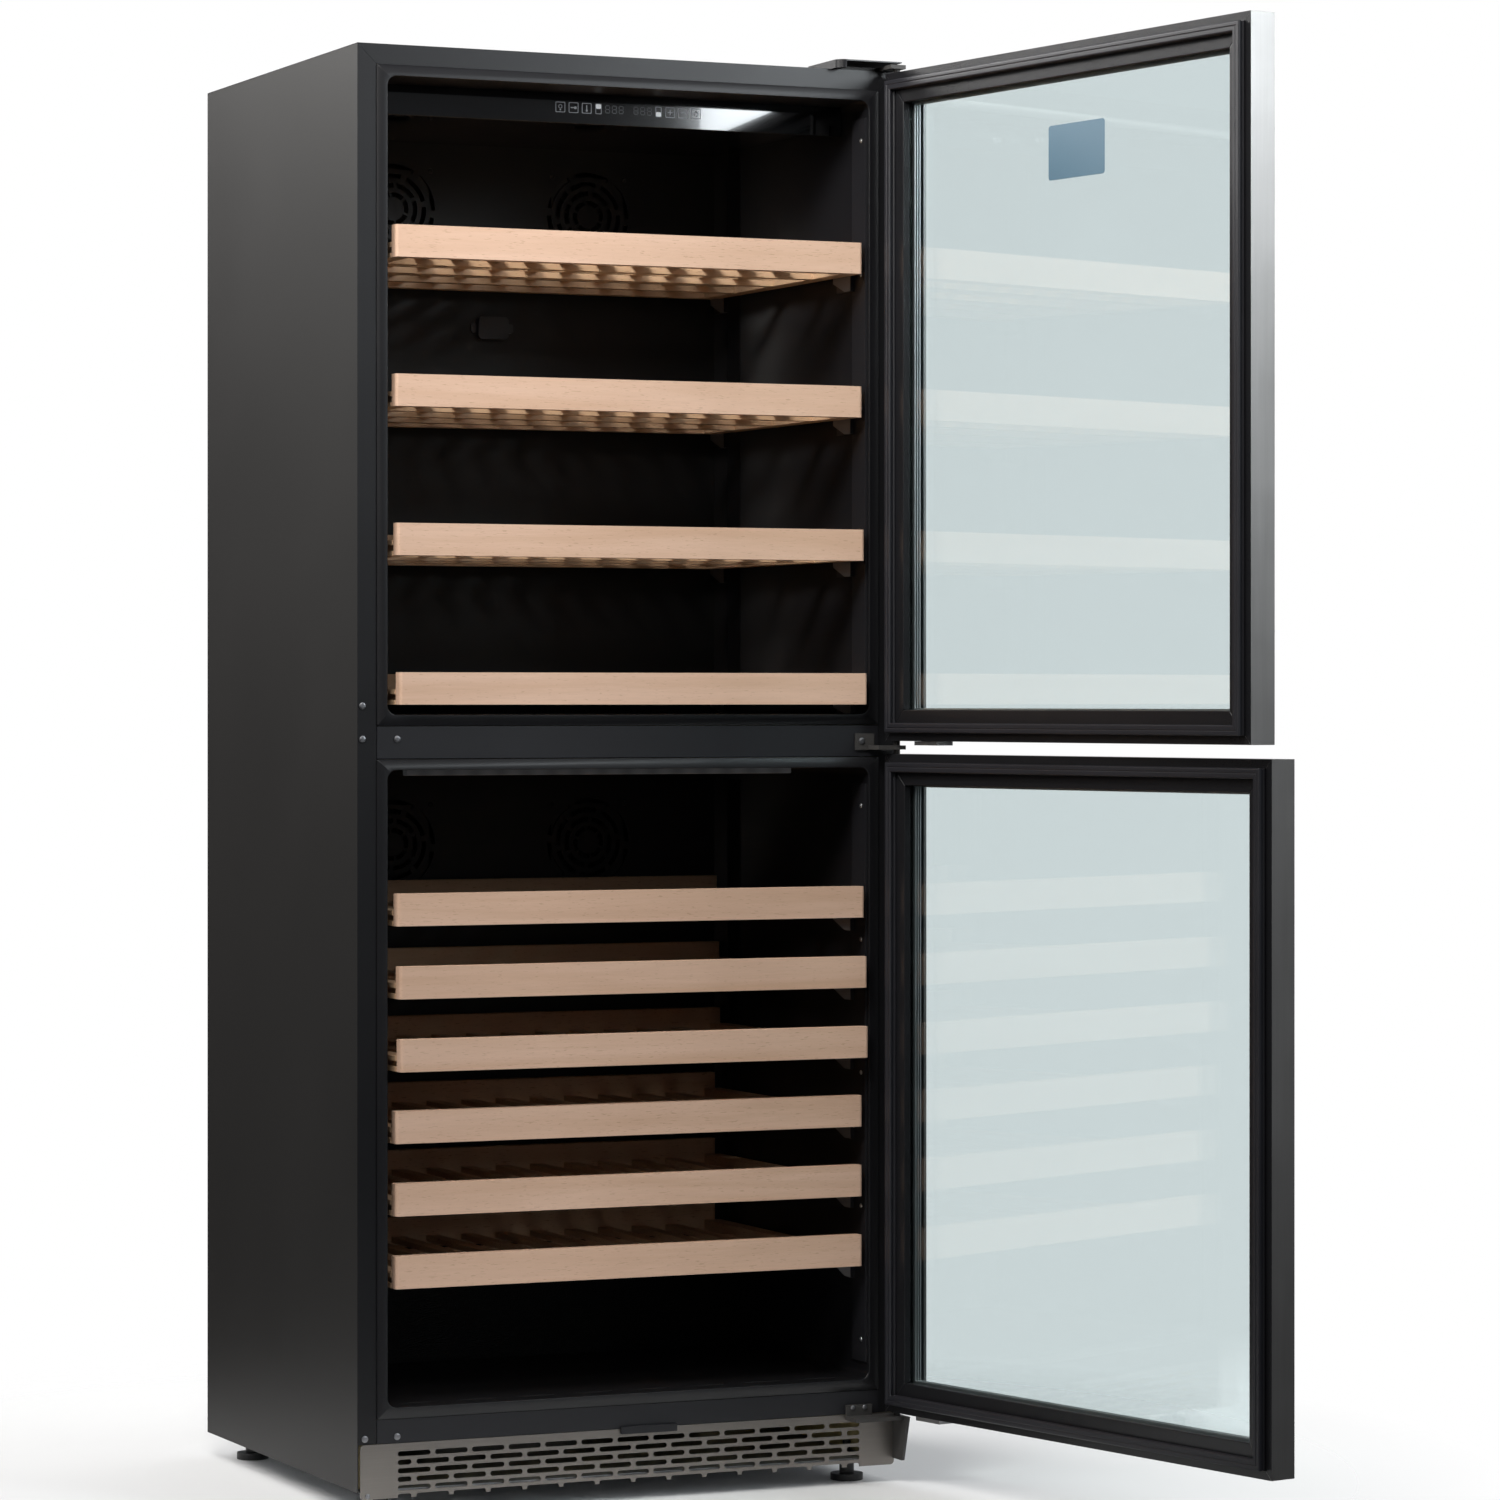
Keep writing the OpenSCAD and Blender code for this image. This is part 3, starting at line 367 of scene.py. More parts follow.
CONDENSER = painted_steel("condenser", (0.012, 0.012, 0.012), (0.022, 0.022, 0.022), 0.42)
COPPER = brushed_steel("copper_tube", (0.62, 0.30, 0.17), (0.80, 0.43, 0.27), "x", rough=0.30, lines=300.0)
FOAM = foam_slab("foam")
FASCIA = black_glass("fascia")
LAMP = lamp_cover("lamp", (0.9, 0.95, 1.0), 0.02)
MARK = printed_mark("touch_marks", (0.20, 0.21, 0.23), (0.30, 0.31, 0.34), 0.30)
DIM_MARK = printed_mark("idle_digits", (0.030, 0.031, 0.035), (0.045, 0.046, 0.052), 0.20)
LIT_MARK = printed_mark("zone_marks", (0.50, 0.52, 0.54), (0.70, 0.72, 0.74), 0.6)
LABEL = moulded_plastic("blank_label", (0.055, 0.115, 0.165), (0.085, 0.160, 0.220), 0.45, 1500.0)
PLATE = moulded_plastic("blank_plate", (0.50, 0.51, 0.52), (0.62, 0.63, 0.64), 0.42, 1500.0)
SEALANT = soft_rubber("pane_sealant", (0.10, 0.12, 0.13), (0.20, 0.23, 0.24))
SPACER = brushed_steel("pane_spacer", (0.62, 0.64, 0.64), (0.80, 0.82, 0.82), "z", rough=0.25, lines=400.0)
BEECH_FRONT = beech("beech_front", "x", (0.760, 0.520, 0.390), (0.650, 0.420, 0.290), 0.32)
BEECH_DECK = beech("beech_deck", "y", (0.700, 0.480, 0.310), (0.560, 0.360, 0.215), 0.6)
BEECH_CROSS = beech("beech_cross", "x", (0.700, 0.480, 0.310), (0.560, 0.360, 0.215), 0.6)
GLASS = clear_glass("glass", (0.925, 0.955, 0.958), (0.90, 0.95, 0.95), (0.95, 0.98, 0.98))


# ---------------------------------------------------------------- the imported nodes

def dress(node, material, bevel=0.4, segments=2, angle=35):
    """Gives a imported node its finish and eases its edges."""
    piece = NODES[node]
    piece.data.materials.clear()
    piece.data.materials.append(material)
    for face in piece.data.polygons:
        face.material_index = 0
        face.use_smooth = True
    if bevel:
        ease_edges(piece, bevel, segments, angle)
    return piece


def join_corners(piece):
    weld = piece.modifiers.new("weld", "WELD")
    weld.merge_threshold = 0.00001


def keep_faces_flat(piece):
    shading = piece.modifiers.new("flat_faces", "WEIGHTED_NORMAL")
    shading.keep_sharp = False
    shading.weight = 100


def ease_edges(piece, bevel, segments=2, angle=35):
    join_corners(piece)
    rounded = piece.modifiers.new("eased_edges", "BEVEL")
    rounded.width = bevel * MM
    rounded.segments = segments
    rounded.limit_method = "ANGLE"
    rounded.angle_limit = math.radians(angle)
    keep_faces_flat(piece)


def lip_marker(piece):
    """A node group that marks the inner front edge of a liner's lip for rolling over."""
    points = [v.co for v in piece.data.vertices]
    front = min(p.y for p in points) + 0.1 * MM
    margin = 4 * MM
    half = max(p.x for p in points) - margin
    low = min(p.z for p in points) + margin
    high = max(p.z for p in points) - margin
    group = bpy.data.node_groups.new(piece.name + "_lip", "GeometryNodeTree")
    for way in ("INPUT", "OUTPUT"):
        group.interface.new_socket("Geometry", in_out=way, socket_type="NodeSocketGeometry")
    make, link = group.nodes.new, group.links.new
    split = make("ShaderNodeSeparateXYZ")
    link(make("GeometryNodeInputPosition").outputs[0], split.inputs[0])

    def test(value, operation, limit):
        compare = make("ShaderNodeMath")
        compare.operation = operation
        link(value, compare.inputs[0])
        compare.inputs[1].default_value = limit
        return compare.outputs[0]

    x, y, z = split.outputs
    tests = [test(y, "LESS_THAN", front), test(x, "LESS_THAN", half), test(x, "GREATER_THAN", -half),
             test(z, "LESS_THAN", high), test(z, "GREATER_THAN", low),
             test(make("GeometryNodeInputMeshEdgeAngle").outputs[0], "GREATER_THAN", 0.5)]
    weight = tests[0]
    for other in tests[1:]:
        both = make("ShaderNodeMath")
        both.operation = "MULTIPLY"
        link(weight, both.inputs[0])
        link(other, both.inputs[1])
        weight = both.outputs[0]
    store = make("GeometryNodeStoreNamedAttribute")
    store.data_type = "FLOAT"
    store.domain = "EDGE"
    store.inputs["Name"].default_value = "bevel_weight_edge"
    link(make("NodeGroupInput").outputs[0], store.inputs["Geometry"])
    link(weight, store.inputs["Value"])
    link(store.outputs[0], make("NodeGroupOutput").inputs[0])
    return group


def round_lip(piece, width):
    """Rolls the inner front edge of a liner's lip over."""
    join_corners(piece)
    marks = piece.modifiers.new("lip_edges", "NODES")
    marks.node_group = lip_marker(piece)
    rolled = piece.modifiers.new("rolled_lip", "BEVEL")
    rolled.width = width * MM
    rolled.segments = 5
    rolled.limit_method = "WEIGHT"
    keep_faces_flat(piece)


def second_finish(node, material, picks):
    """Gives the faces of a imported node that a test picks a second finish."""
    piece = NODES[node]
    piece.data.materials.append(material)
    points = piece.data.vertices
    place = len(piece.data.materials) - 1
    for face in piece.data.polygons:
        if picks([points[i].co for i in face.vertices]):
            face.material_index = place


front_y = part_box("side_panel_left")[0].y
for name in ("side_panel_left", "side_panel_right", "top_panel"):
    dress(name, CABINET_STEEL, 0.5)
    # The front faces take the darker copy of the paint as painted shade.
    second_finish(name, SHADED_FLANGE_PAINT, lambda points: all(p.y < front_y + 2 * MM for p in points))
for name in ("rear_panel", "base_tray"):
    dress(name, ZINC, 0.2)
dress("insulation", FOAM, 1.0)
for zone in ZONES:
    round_lip(dress(zone + "_liner", LINER, 0), 6.0)
dress("front_trims", TRIM, 0.8, 3)
for name in ("upper_duct_cover", "lower_duct_cover"):
    dress(name, BACK_COVER, 0.5)
dress("support_strips", SUPPORT, 0.5)
dress("shelf_runners", RUNNER_STEEL, 0.5)
dress("control_panel", FASCIA, 0.5)
dress("lamps", LAMP, 1.0)
dress("evaporators", EVAPORATOR, 0.4)
dress("fan_housings", FAN_PLASTIC, 0.5)
dress("compressor", COMPRESSOR, 1.5, 3)
dress("condenser", CONDENSER, 0.2)
dress("plinth_grille", PLINTH_STEEL, 0.25)
dress("levelling_feet", RUBBER, 0.8)
dress("hinge_brackets", HINGE_STEEL, 0.5)
dress("hinge_cover", COVER_PLASTIC, 1.2, 3)
dress("frame_fasteners", SCREW, 0.25)
dress("power_inlet", INLET_PLASTIC, 0.8)
for name in ("upper_left", "upper_right", "lower_left", "lower_right", "condenser"):
    dress(name + "_rotor", FAN_PLASTIC, 0.3)
for zone in ZONES:
    dress(zone + "_door_frame", DOOR_STEEL, 1.0, 3)
    dress(zone + "_door_bead", BEAD, 1.2, 3)
    dress(zone + "_door_gasket", GASKET, 1.0)
    dress(zone + "_door_glass", GLASS, 0)
    dress(zone + "_door_fittings", FITTING_STEEL, 0.4)
for n in SHELVES:
    dress(f"shelf_{n}_front", BEECH_FRONT, 1.6, 4)
    dress(f"shelf_{n}_frame", BEECH_DECK, 0.8, 2)


def painted_light_bracket_faces(points):
    """The inner sides of the shelf brackets, away from the wall strips, which take a lighter grey as painted
    light.
    """
    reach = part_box("support_strips")[1].x - 2.5 * MM
    return all(abs(p.x) < reach for p in points)


# Painted light: the brackets take the lighter grey so that they look lit.
second_finish("support_strips", BRACKET_PAINTED_LIGHT, painted_light_bracket_faces)


# ---------------------------------------------------------------- measures read from the frame

half_width = -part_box("side_panel_left")[0].x


class Door:
    """A door's places in its closed position, and the turn that opens it."""

    def __init__(self, zone):
        joint = next(j for j in frame["joints"] if j["child"] == zone + "_door")
        self.zone = zone
        self.body = zone + "_door"
        self.pin = Vector(joint["pos_m"])
        self.open = math.radians(-joint["range_deg"][0])
        self.turn = (Matrix.Translation(self.pin) @ Matrix.Rotation(self.open, 4, "Z")
                     @ Matrix.Translation(-self.pin))
        back = self.turn.inverted()
        closed = [back @ v.co for v in NODES[zone + "_door_frame"].data.vertices]
        self.low = Vector(min(p[i] for p in closed) for i in range(3))
        self.high = Vector(max(p[i] for p in closed) for i in range(3))
        panes = [back @ v.co for v in NODES[zone + "_door_glass"].data.vertices]
        self.glass_low = Vector(min(p[i] for p in panes) for i in range(3))
        self.glass_high = Vector(max(p[i] for p in panes) for i in range(3))


# ---------------------------------------------------------------- piece makers

def finish_piece(name, mesh, material, body, bevel=0.0, segments=2, smooth=True, door=None):
    """Turns a bmesh into a piece that rides on a body. A door's piece is drawn closed and swung open."""
    data = bpy.data.meshes.new(name)
    bmesh.ops.recalc_face_normals(mesh, faces=mesh.faces)
    if door:
        bmesh.ops.transform(mesh, matrix=door.turn, verts=mesh.verts)
    mesh.to_mesh(data)
    mesh.free()
    piece = bpy.data.objects.new(name, data)
    bpy.context.scene.collection.objects.link(piece)
    data.materials.append(material)
    for face in data.polygons:
        face.use_smooth = smooth
    if bevel:
        ease_edges(piece, bevel, segments)
    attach(piece, body)
    return piece


def add_lathe(mesh, outline, centre, axis=(0, -1, 0), steps=24):
    """Turns an outline of (radius, height) points about an axis through centre."""
    turn = Vector((0, 0, 1)).rotation_difference(Vector(axis)).to_matrix()
    rings = []
    for radius, height in outline:
        if radius == 0:
            rings.append([mesh.verts.new(Vector(centre) + turn @ Vector((0, 0, height)))])
            continue
        angles = [2 * math.pi * k / steps for k in range(steps)]
        circle = [Vector((radius * math.cos(a), radius * math.sin(a), height)) for a in angles]
        rings.append([mesh.verts.new(Vector(centre) + turn @ point) for point in circle])
    for first, second in zip(rings, rings[1:]):
        for k in range(steps):
            corners = [first[k % len(first)], first[(k + 1) % len(first)],
                       second[(k + 1) % len(second)], second[k % len(second)]]
            unique = list(dict.fromkeys(corners))
            if len(unique) > 2:
                mesh.faces.new(unique)


def add_plate(mesh, outline, y, thickness):
    """A thin plate in X and Z whose face is at y, reaching back by its thickness."""
    front = [mesh.verts.new((x, y, z)) for x, z in outline]
    back = [mesh.verts.new((x, y + thickness, z)) for x, z in outline]
    mesh.faces.new(front)
    mesh.faces.new(list(reversed(back)))
    count = len(outline)
    for i in range(count):
        j = (i + 1) % count
        mesh.faces.new((front[i], back[i], back[j], front[j]))


def rounded(x, z, width, height, radius, steps=5):
    """Points of a round-cornered rectangle about (x, z)."""
    points = []
    for corner, (sx, sz) in enumerate(((1, 1), (-1, 1), (-1, -1), (1, -1))):
        for k in range(steps + 1):
            angle = math.pi / 2 * (corner + k / steps)
            points.append((x + sx * (width / 2 - radius) + radius * math.cos(angle),
                           z + sz * (height / 2 - radius) + radius * math.sin(angle)))
    return points


def add_ring(mesh, outer, inner, y, thickness):
    """A flat frame between two outlines with the same number of points."""
    sheets = []
    for place in (y, y + thickness):
        sheets.append([[mesh.verts.new((x, place, z)) for x, z in line] for line in (outer, inner)])
    count = len(outer)
    for i in range(count):
        j = (i + 1) % count
        for outline, inline in sheets:
            mesh.faces.new((outline[i], outline[j], inline[j], inline[i]))
        for line in (0, 1):
            mesh.faces.new((sheets[0][line][i], sheets[1][line][i], sheets[1][line][j], sheets[0][line][j]))


def mitred_sweep(mesh, profile, low_x, high_x, low_z, high_z):
    """Carries a closed profile of (inward, y) points round a rectangle, mitred at the corners."""
    corners = ((low_x, low_z, 1, 1), (high_x, low_z, -1, 1), (high_x, high_z, -1, -1), (low_x, high_z, 1, -1))
    rings = [[mesh.verts.new((x + sx * inward, y, z + sz * inward)) for inward, y in profile]
             for x, z, sx, sz in corners]
    count = len(profile)
    for a in range(4):
        first, second = rings[a], rings[(a + 1) % 4]
        for i in range(count):
            j = (i + 1) % count
            mesh.faces.new((first[i], first[j], second[j], second[i]))


def arc(centre, radius, start, end, steps):
    """Points of an arc in degrees."""
    return [(centre[0] + radius * math.cos(math.radians(start + (end - start) * k / steps)),
             centre[1] + radius * math.sin(math.radians(start + (end - start) * k / steps)))
            for k in range(steps + 1)]


def screw_head(mesh, centre, axis, radius, height):
    """A pan head with a cross recess."""
    dome = [(radius * math.cos(t), height * math.sin(t)) for t in (0, 0.35, 0.7, 1.05)]
    recess = [(radius * 0.30, height * 0.92), (radius * 0.22, height * 0.45), (0, height * 0.40)]
    outline = [(0, 0), (radius, 0)] + dome[1:] + recess
    add_lathe(mesh, outline, centre, axis, 20)


# ---------------------------------------------------------------- doors

def door_gasket(door):
    """A folded gasket: a broad foot, a waist and a magnet bulb with a groove along it."""
    node = door.zone + "_door_gasket"
    back = door.turn.inverted()
    points = [back @ v.co for v in NODES[node].data.vertices]
    low = Vector(min(p[i] for p in points) for i in range(3))
    high = Vector(max(p[i] for p in points) for i in range(3))
    width = 12 * MM
    depth = high.y - low.y
    foot, bulb = low.y, high.y
    profile = [(0, foot), (0, foot + depth * 0.16), (width * 0.10, foot + depth * 0.30)]
    profile += [(width * 0.06, foot + depth * 0.44)]
    profile += arc((width * 0.17, bulb - width * 0.30), width * 0.17, 180, 90, 4)
    profile += [(width * 0.40, bulb - width * 0.13), (width * 0.48, bulb - width * 0.20),
                (width * 0.56, bulb - width * 0.13)]
    profile += arc((width * 0.83, bulb - width * 0.30), width * 0.17, 90, 0, 4)
    profile += [(width * 0.94, foot + depth * 0.44), (width * 0.90, foot + depth * 0.30),
                (width, foot + depth * 0.16), (width, foot)]
    mesh = bmesh.new()
    mitred_sweep(mesh, profile, low.x, high.x, low.z, high.z)
    piece = finish_piece(node + "_fold", mesh, GASKET, door.body, 0.3, 2, door=door)
    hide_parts(node)


def glass_edge(door):
    """Bright bars between the panes, just inside the border."""
    pane = 4.4 * MM
    y0 = door.glass_low.y + pane
    y1 = door.glass_high.y - pane
    reach = 4.5 * MM
    inset = 35.5 * MM
    bars = 3
    mesh = bmesh.new()
    for k in range(bars):
        y = y0 + (y1 - y0) * (k + 0.5) / bars
        profile = [(inset, y - 1.1 * MM), (inset + reach, y - 0.8 * MM), (inset + reach, y + 0.8 * MM),
                   (inset, y + 1.1 * MM)]
        mitred_sweep(mesh, profile, door.low.x, door.high.x, door.low.z, door.high.z)
    piece = finish_piece(door.zone + "_pane_spacer", mesh, SPACER, door.body, 0.15, 1, door=door)


def blank_label(door):
    """The bare sticker on the inner face of the upper pane."""
    width = 107 * MM
    height = 64 * MM
    x = door.high.x - 370 * MM
    z = door.high.z - 124.5 * MM
    mesh = bmesh.new()
    add_plate(mesh, rounded(x, z, width, height, 4 * MM), door.glass_high.y, 0.25 * MM)
    piece = finish_piece("blank_glass_label", mesh, LABEL, door.body, 0.08, 2, door=door)


doors = {zone: Door(zone) for zone in ZONES}
for door in doors.values():
    door_gasket(door)
    glass_edge(door)
    turn_back = door.turn.inverted()

    def is_rail(points, door=door, turn_back=turn_back):
        centre = turn_back @ (sum(points, Vector()) / len(points))
        side_gap = min(centre.x - door.low.x, door.high.x - centre.x)
        end_gap = min(centre.z - door.low.z, door.high.z - centre.z)
        return end_gap < side_gap

    def is_inner(points, door=door, turn_back=turn_back):
        return all((turn_back @ p).y > door.high.y - 0.1 * MM for p in points)

    second_finish(door.zone + "_door_frame", DOOR_RAIL_STEEL, is_rail)
    second_finish(door.zone + "_door_frame", BEAD, is_inner)

    def is_spacer(points, door=door, turn_back=turn_back):
        low_y = door.glass_low.y + 4.3 * MM
        high_y = door.glass_high.y - 4.3 * MM
        return all(low_y < (turn_back @ p).y < high_y for p in points)

    second_finish(door.zone + "_door_glass", SEALANT, is_spacer)
blank_label(doors["upper"])


# ---------------------------------------------------------------- control panel

SEGMENTS = {"top": (0, 1, "h"), "middle": (0, 0, "h"), "bottom": (0, -1, "h"),
            "top_left": (-1, 0.5, "v"), "top_right": (1, 0.5, "v"),
            "bottom_left": (-1, -0.5, "v"), "bottom_right": (1, -0.5, "v")}


def control_marks():
    """Touch keys and two idle displays on the fascia. Each key is a square outline round a plain sign."""
    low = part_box("control_panel")[0]
    thick = 0.12 * MM
    y = low.y - thick
    row = low.z + 19 * MM
    key = 12.6 * MM
    pitch = 17.2 * MM
    line = 0.8 * MM
    keys, signs, digits, lit = (bmesh.new() for _ in range(4))

    def outline(x, width=key, height=key):
        add_ring(keys, rounded(x, row, width, height, 1.2 * MM),
                 rounded(x, row, width - 2 * line, height - 2 * line, 0.7 * MM), y, thick)

    def bar(mesh, x, z, width, height):
        add_plate(mesh, rounded(x, z, width, height, min(width, height) * 0.3, 3), y, thick)

    def digit(x):
        half_w, half_h, stroke = 2.7 * MM, 4.4 * MM, 0.9 * MM
        for across, up, lay in SEGMENTS.values():
            wide = (2 * half_w - stroke, stroke) if lay == "h" else (stroke, half_h - 1.2 * stroke)
            bar(digits, x + across * half_w, row + up * half_h, *wide)

    first = -63 * MM
    lamp_x, display_x, thermometer_x = (first + i * pitch for i in range(3))
    for x in (lamp_x, display_x, thermometer_x):
        outline(x)
    add_ring(signs, rounded(lamp_x, row + 0.8 * MM, 5.0 * MM, 5.0 * MM, 2.4 * MM),
             rounded(lamp_x, row + 0.8 * MM, 3.6 * MM, 3.6 * MM, 1.7 * MM), y, thick)
    bar(signs, lamp_x, row - 3.2 * MM, 1.9 * MM, 1.6 * MM)
    bar(signs, display_x - 1.6 * MM, row, 4.4 * MM, 1.2 * MM)
    bar(signs, display_x + 2.4 * MM, row, 3.2 * MM, 3.2 * MM)
    bar(signs, thermometer_x, row + 0.8 * MM, 1.3 * MM, 6.0 * MM)
    bar(signs, thermometer_x, row - 2.8 * MM, 2.6 * MM, 2.6 * MM)

    digit_pitch = 8.9 * MM
    upper_x = thermometer_x + 15.4 * MM
    upper_digits = [upper_x + 12 * MM + i * digit_pitch for i in range(3)]
    lower_digits = [upper_digits[-1] + 19.5 * MM + i * digit_pitch for i in range(3)]
    for x in upper_digits + lower_digits:
        digit(x)
    lower_x = lower_digits[-1] + 12 * MM
    for x, side in ((upper_x, 1), (lower_x, -1)):
        outline(x, 8.0 * MM, key)
        bar(lit, x, row + side * 2.9 * MM, 6.8 * MM, 5.6 * MM)

    plus_x, minus_x, power_x = (lower_x + 15.4 * MM + i * pitch for i in range(3))
    for x in (plus_x, minus_x, power_x):
        outline(x)
    for x in (plus_x, minus_x):
        bar(signs, x, row, 6.4 * MM, 1.2 * MM)
    bar(signs, plus_x, row, 1.2 * MM, 6.4 * MM)
    add_ring(signs, rounded(power_x, row - 0.3 * MM, 6.2 * MM, 6.2 * MM, 3.0 * MM),
             rounded(power_x, row - 0.3 * MM, 4.4 * MM, 4.4 * MM, 2.1 * MM), y, thick)
    bar(signs, power_x, row + 2.2 * MM, 1.1 * MM, 3.8 * MM)

    for name, mesh, material in (("key_outlines", keys, MARK), ("key_signs", signs, MARK),
                                 ("idle_digits", digits, DIM_MARK), ("zone_marks", lit, LIT_MARK)):
        finish_piece(name, mesh, material, "cabinet", smooth=False)


control_marks()


# ---------------------------------------------------------------- cabinet details

def duct_screws():
    """Screws at the corners of the fan grilles."""
    mesh = bmesh.new()
    for zone in ZONES:
        for side in ("left", "right"):
            low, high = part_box(f"{zone}_{side}_rotor")
            middle = (low + high) / 2
            for sx, sz in ((-1, -1), (-1, 1), (1, -1), (1, 1)):
                centre = (middle.x + sx * 50 * MM, duct_face[zone], middle.z + sz * 50 * MM)
                screw_head(mesh, centre, (0, -1, 0), 3.4 * MM, 1.5 * MM)
    finish_piece("duct_cover_screws", mesh, SUPPORT, "cabinet")


duct_face = {}
for zone in ZONES:
    node = zone + "_duct_cover"
    duct_face[zone] = min(v.co.y for v in NODES[node].data.vertices if abs(v.co.x) > 0.3)
    second_finish(node, SENSOR, lambda points: all(p.y < duct_face[zone] - 0.1 * MM for p in points))
duct_screws()


def strip_screws():
    """Screws that hold the upright strips to the walls, between the shelf places."""
    low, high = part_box("support_strips")
    wall = high.x - 2 * MM
    bright = bmesh.new()
    heights = {zone: (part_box(zone + "_liner")[0].z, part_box(zone + "_liner")[1].z) for zone in ZONES}
    front = low.y + 12 * MM
    for zone, (z0, z1) in heights.items():
        count = 5
        for i in range(count):
            z = z0 + 60 * MM + (z1 - z0 - 120 * MM) * i / (count - 1)
            for s in (-1, 1):
                screw_head(bright, (s * wall, front, z), (-s, 0, 0), 3.0 * MM, 1.4 * MM)
    finish_piece("strip_screws", bright, BRIGHT_SCREW, "cabinet")


strip_screws()


def rear_details():
    """Screws round the rear panel, a blank rating plate and the plugs of the foam filling holes."""
    low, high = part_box("rear_panel")
    y = high.y
    screws, plate, plugs = bmesh.new(), bmesh.new(), bmesh.new()
    rows = 7
    for i in range(rows):
        z = low.z + 30 * MM + (high.z - low.z - 60 * MM) * i / (rows - 1)
        for s in (-1, 1):
            screw_head(screws, (s * (half_width - 14 * MM), y, z), (0, 1, 0), 4.0 * MM, 1.6 * MM)
    pitch = 170 * MM
    for i in range(4):
        x = (i - 1.5) * pitch
        for z in (low.z + 14 * MM, high.z - 14 * MM):
            screw_head(screws, (x, y, z), (0, 1, 0), 4.0 * MM, 1.6 * MM)
    add_plate(plate, rounded(0.18, 0.62, 95 * MM, 60 * MM, 3 * MM), y, 0.4 * MM)
    for x, z in ((-0.16, 1.32), (0.16, 1.32), (0.0, 0.45)):
        add_lathe(plugs, [(0, 0), (15 * MM, 0), (15 * MM, 1 * MM), (12 * MM, 2.2 * MM), (10 * MM, 1.4 * MM),
                          (0, 1.4 * MM)], (x, y, z), (0, 1, 0), 32)
    finish_piece("rear_screws", screws, SCREW, "cabinet")
    finish_piece("rear_blank_plate", plate, PLATE, "cabinet", 0.1, 1)
    finish_piece("foam_plugs", plugs, COVER_PLASTIC, "cabinet", 0.3)


rear_details()


def cooling_tubes():
    """Copper tubes from the compressor to the condenser."""
    shell_low, shell_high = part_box("compressor")
    fins_low, fins_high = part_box("condenser")
    y = (shell_low.y + shell_high.y) / 2
    start_x = shell_low.x + 40 * MM
    for k, (dy, z) in enumerate(((-14, 58), (14, 86))):
        points = [(start_x, y + dy * MM, shell_low.z + z * MM),
                  (start_x - 34 * MM, y + dy * MM, shell_low.z + z * MM),
                  (start_x - 52 * MM, y + 1.6 * dy * MM, shell_low.z + (z - 20) * MM),
                  (fins_high.x + 52 * MM, y + 2.6 * dy * MM, fins_low.z + 22 * MM),
                  (fins_high.x + 20 * MM, y + 3.0 * dy * MM, fins_low.z + 14 * MM),
                  (fins_high.x - 4 * MM, y + 3.0 * dy * MM, fins_low.z + 14 * MM)]
        line = bpy.data.curves.new(f"cooling_tube_{k + 1}", "CURVE")
        line.dimensions = "3D"
        line.bevel_depth = 3 * MM
        line.bevel_resolution = 3
        spline = line.splines.new("BEZIER")
        spline.bezier_points.add(len(points) - 1)
        for bezier, point in zip(spline.bezier_points, points):
            bezier.co = point
            bezier.handle_left_type = bezier.handle_right_type = "AUTO"
        tube = bpy.data.objects.new(f"cooling_tube_{k + 1}", line)
        bpy.context.scene.collection.objects.link(tube)
        line.materials.append(COPPER)
        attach(tube, "cabinet")


cooling_tubes()


# ---------------------------------------------------------------- shelves

def is_cross_grain(points):
    """Back rails and cross members have their grain across the cooler."""
    spread_x = max(p.x for p in points) - min(p.x for p in points)
    spread_y = max(p.y for p in points) - min(p.y for p in points)
    return spread_x > spread_y


for n in SHELVES:
    second_finish(f"shelf_{n}_frame", BEECH_CROSS, is_cross_grain)


def deck_staples():
    """Small nail heads where the slats cross the members, near each side."""
    for n in SHELVES:
        low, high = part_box(f"shelf_{n}_frame")
        mesh = bmesh.new()
        for s in (-1, 1):
            for k in range(3):
                y = low.y + 0.10 + 0.117 * k
                add_lathe(mesh, [(0, 0), (3.0 * MM, 0), (2.8 * MM, 0.25 * MM), (0, 0.3 * MM)],
                          (s * (high.x - 12 * MM), y, low.z + 18 * MM), (0, 0, 1), 16)
        finish_piece(f"shelf_{n}_plugs", mesh, BEECH_CROSS, f"shelf_{n}")


deck_staples()


# ---------------------------------------------------------------- room, lights and camera

def room():
    """A pale, level floor."""
    mesh = bmesh.new()
    bmesh.ops.create_circle(mesh, cap_ends=True, segments=96, radius=60.0)
    bmesh.ops.translate(mesh, verts=mesh.verts, vec=(0, 0, cad_box[0].z))
    data = bpy.data.meshes.new("studio_floor")
    mesh.to_mesh(data)
    mesh.free()
    floor = bpy.data.objects.new("studio_floor", data)
    bpy.context.scene.collection.objects.link(floor)
    for face in data.polygons:
        face.use_smooth = True
    solid_radius, fade = 0.5, 0.7
    f = Finish("studio_floor")
    cloud = f.noise(f.place(), 0.8, 2.0)
    f.colour(f.blend(cloud, (0.84, 0.84, 0.84), (0.88, 0.88, 0.88)))
    f.rough(0.8 + cloud * 0.1)
    reach = f.node("ShaderNodeVectorMath", {"operation": "LENGTH"}, {0: f.place()}, output=1)
    f.see_through(((reach - solid_radius) / fade).clip())
    data.materials.append(f.material)


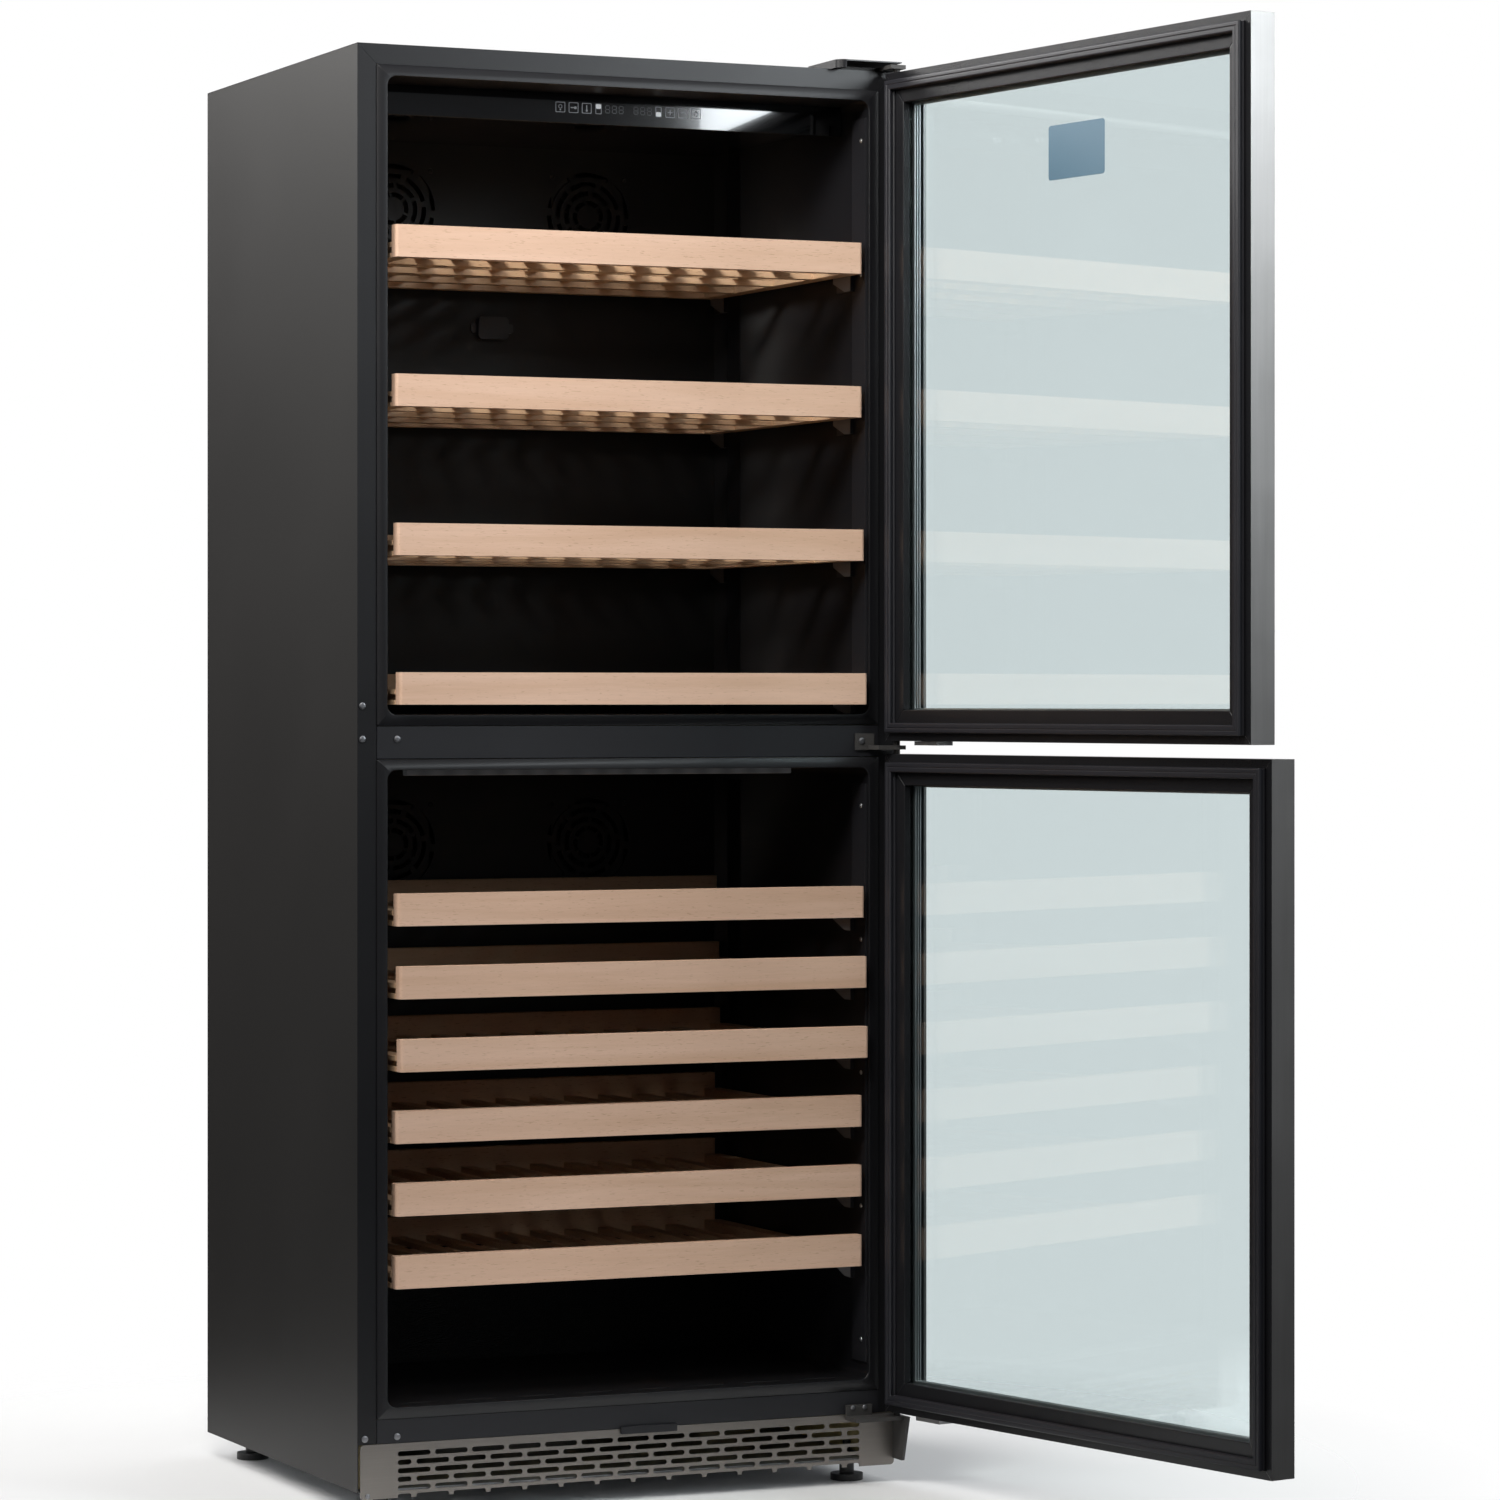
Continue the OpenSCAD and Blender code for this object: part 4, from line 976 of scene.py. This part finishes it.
def soft_light(name, place, target, width, height, power, colour=(1, 1, 1), spread=180, mirrored=True):
    lamp = bpy.data.lights.new(name, "AREA")
    lamp.spread = math.radians(spread)
    lamp.shape = "RECTANGLE"
    lamp.size = width
    lamp.size_y = height
    lamp.energy = power
    lamp.color = colour
    holder = bpy.data.objects.new(name, lamp)
    bpy.context.scene.collection.objects.link(holder)
    holder.location = place
    holder.rotation_euler = (Vector(target) - Vector(place)).to_track_quat("-Z", "Y").to_euler()
    holder.visible_camera = False
    holder.visible_glossy = mirrored


def lights():
    middle = (0, 0, 0.9)
    upper = (0, 0, 1.75)
    soft_light("left_window", (-3.2, -0.6, 3.0), upper, 2.2, 1.6, 20, (1.0, 0.985, 0.96), 90)
    soft_light("back_left_window", (-2.8, 4.2, 3.6), (0, 0, 1.6), 2.4, 1.4, 50, (1.0, 0.985, 0.97), 85)
    soft_light("front_window", (-1.4, -1.9, 3.1), (0, -0.3, 2.0), 1.2, 0.8, 21, (1.0, 0.98, 0.94), 80)
    soft_light("right_window", (3.8, -1.6, 3.0), upper, 2.0, 1.8, 16, (0.95, 0.98, 1.0), 90)
    soft_light("corner_window", (1.82, -3.2, 2.3), (0.25, -0.25, 1.7), 0.7, 0.9, 34, (0.90, 0.96, 1.0))
    soft_light("ceiling", (0, 0.2, 4.2), middle, 3.0, 3.0, 45, mirrored=False)
    lamp_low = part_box("lamps")[0]
    ceiling_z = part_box("upper_liner")[1].z - 50 * MM
    soft_light("upper_zone_lamp", (0, lamp_low.y, ceiling_z), (0, lamp_low.y, 0), 0.48, 0.012, 0.35,
               mirrored=False)
    world = bpy.data.worlds.new("studio")
    bpy.context.scene.world = world
    world.use_nodes = True
    tree = world.node_tree
    seen = tree.nodes["Background"]
    seen.inputs["Color"].default_value = (1, 1, 1, 1)
    seen.inputs["Strength"].default_value = 1.0
    lit = tree.nodes.new("ShaderNodeBackground")
    lit.inputs["Strength"].default_value = 0.36
    height = tree.nodes.new("ShaderNodeSeparateXYZ")
    direction = tree.nodes.new("ShaderNodeTexCoord")
    shifted = tree.nodes.new("ShaderNodeMath")
    shifted.operation = "MULTIPLY_ADD"
    shifted.inputs[1].default_value = 0.5
    shifted.inputs[2].default_value = 0.5
    rise = tree.nodes.new("ShaderNodeValToRGB")
    stops = rise.color_ramp.elements
    stops[0].position = 0.42
    stops[0].color = (0.03, 0.03, 0.03, 1)
    stops[1].position = 0.80
    stops[1].color = (0.95, 0.97, 1.0, 1)
    horizon = stops.new(0.52)
    horizon.color = (0.20, 0.205, 0.215, 1)
    path = tree.nodes.new("ShaderNodeLightPath")
    mix = tree.nodes.new("ShaderNodeMixShader")
    tree.links.new(direction.outputs["Generated"], height.inputs[0])
    tree.links.new(height.outputs[2], shifted.inputs[0])
    tree.links.new(shifted.outputs[0], rise.inputs[0])
    tree.links.new(rise.outputs[0], lit.inputs["Color"])
    tree.links.new(path.outputs["Is Camera Ray"], mix.inputs[0])
    tree.links.new(lit.outputs[0], mix.inputs[1])
    tree.links.new(seen.outputs[0], mix.inputs[2])
    tree.links.new(mix.outputs[0], tree.nodes["World Output"].inputs["Surface"])


def camera():
    """A long lens a little left of the cooler, level, with its horizon raised by the lens shift."""
    eye = bpy.data.cameras.new("camera")
    eye.sensor_width = 36
    eye.lens = 123.1
    eye.shift_y = -0.0337
    eye.clip_end = 100
    holder = bpy.data.objects.new("camera", eye)
    bpy.context.scene.collection.objects.link(holder)
    holder.location = (-2.4050, -5.9338, 0.9591)
    holder.rotation_euler = (math.radians(90), 0, math.radians(-24.344))
    bpy.context.scene.camera = holder


room()
lights()
camera()
bpy.context.scene.view_settings.view_transform = "Standard"
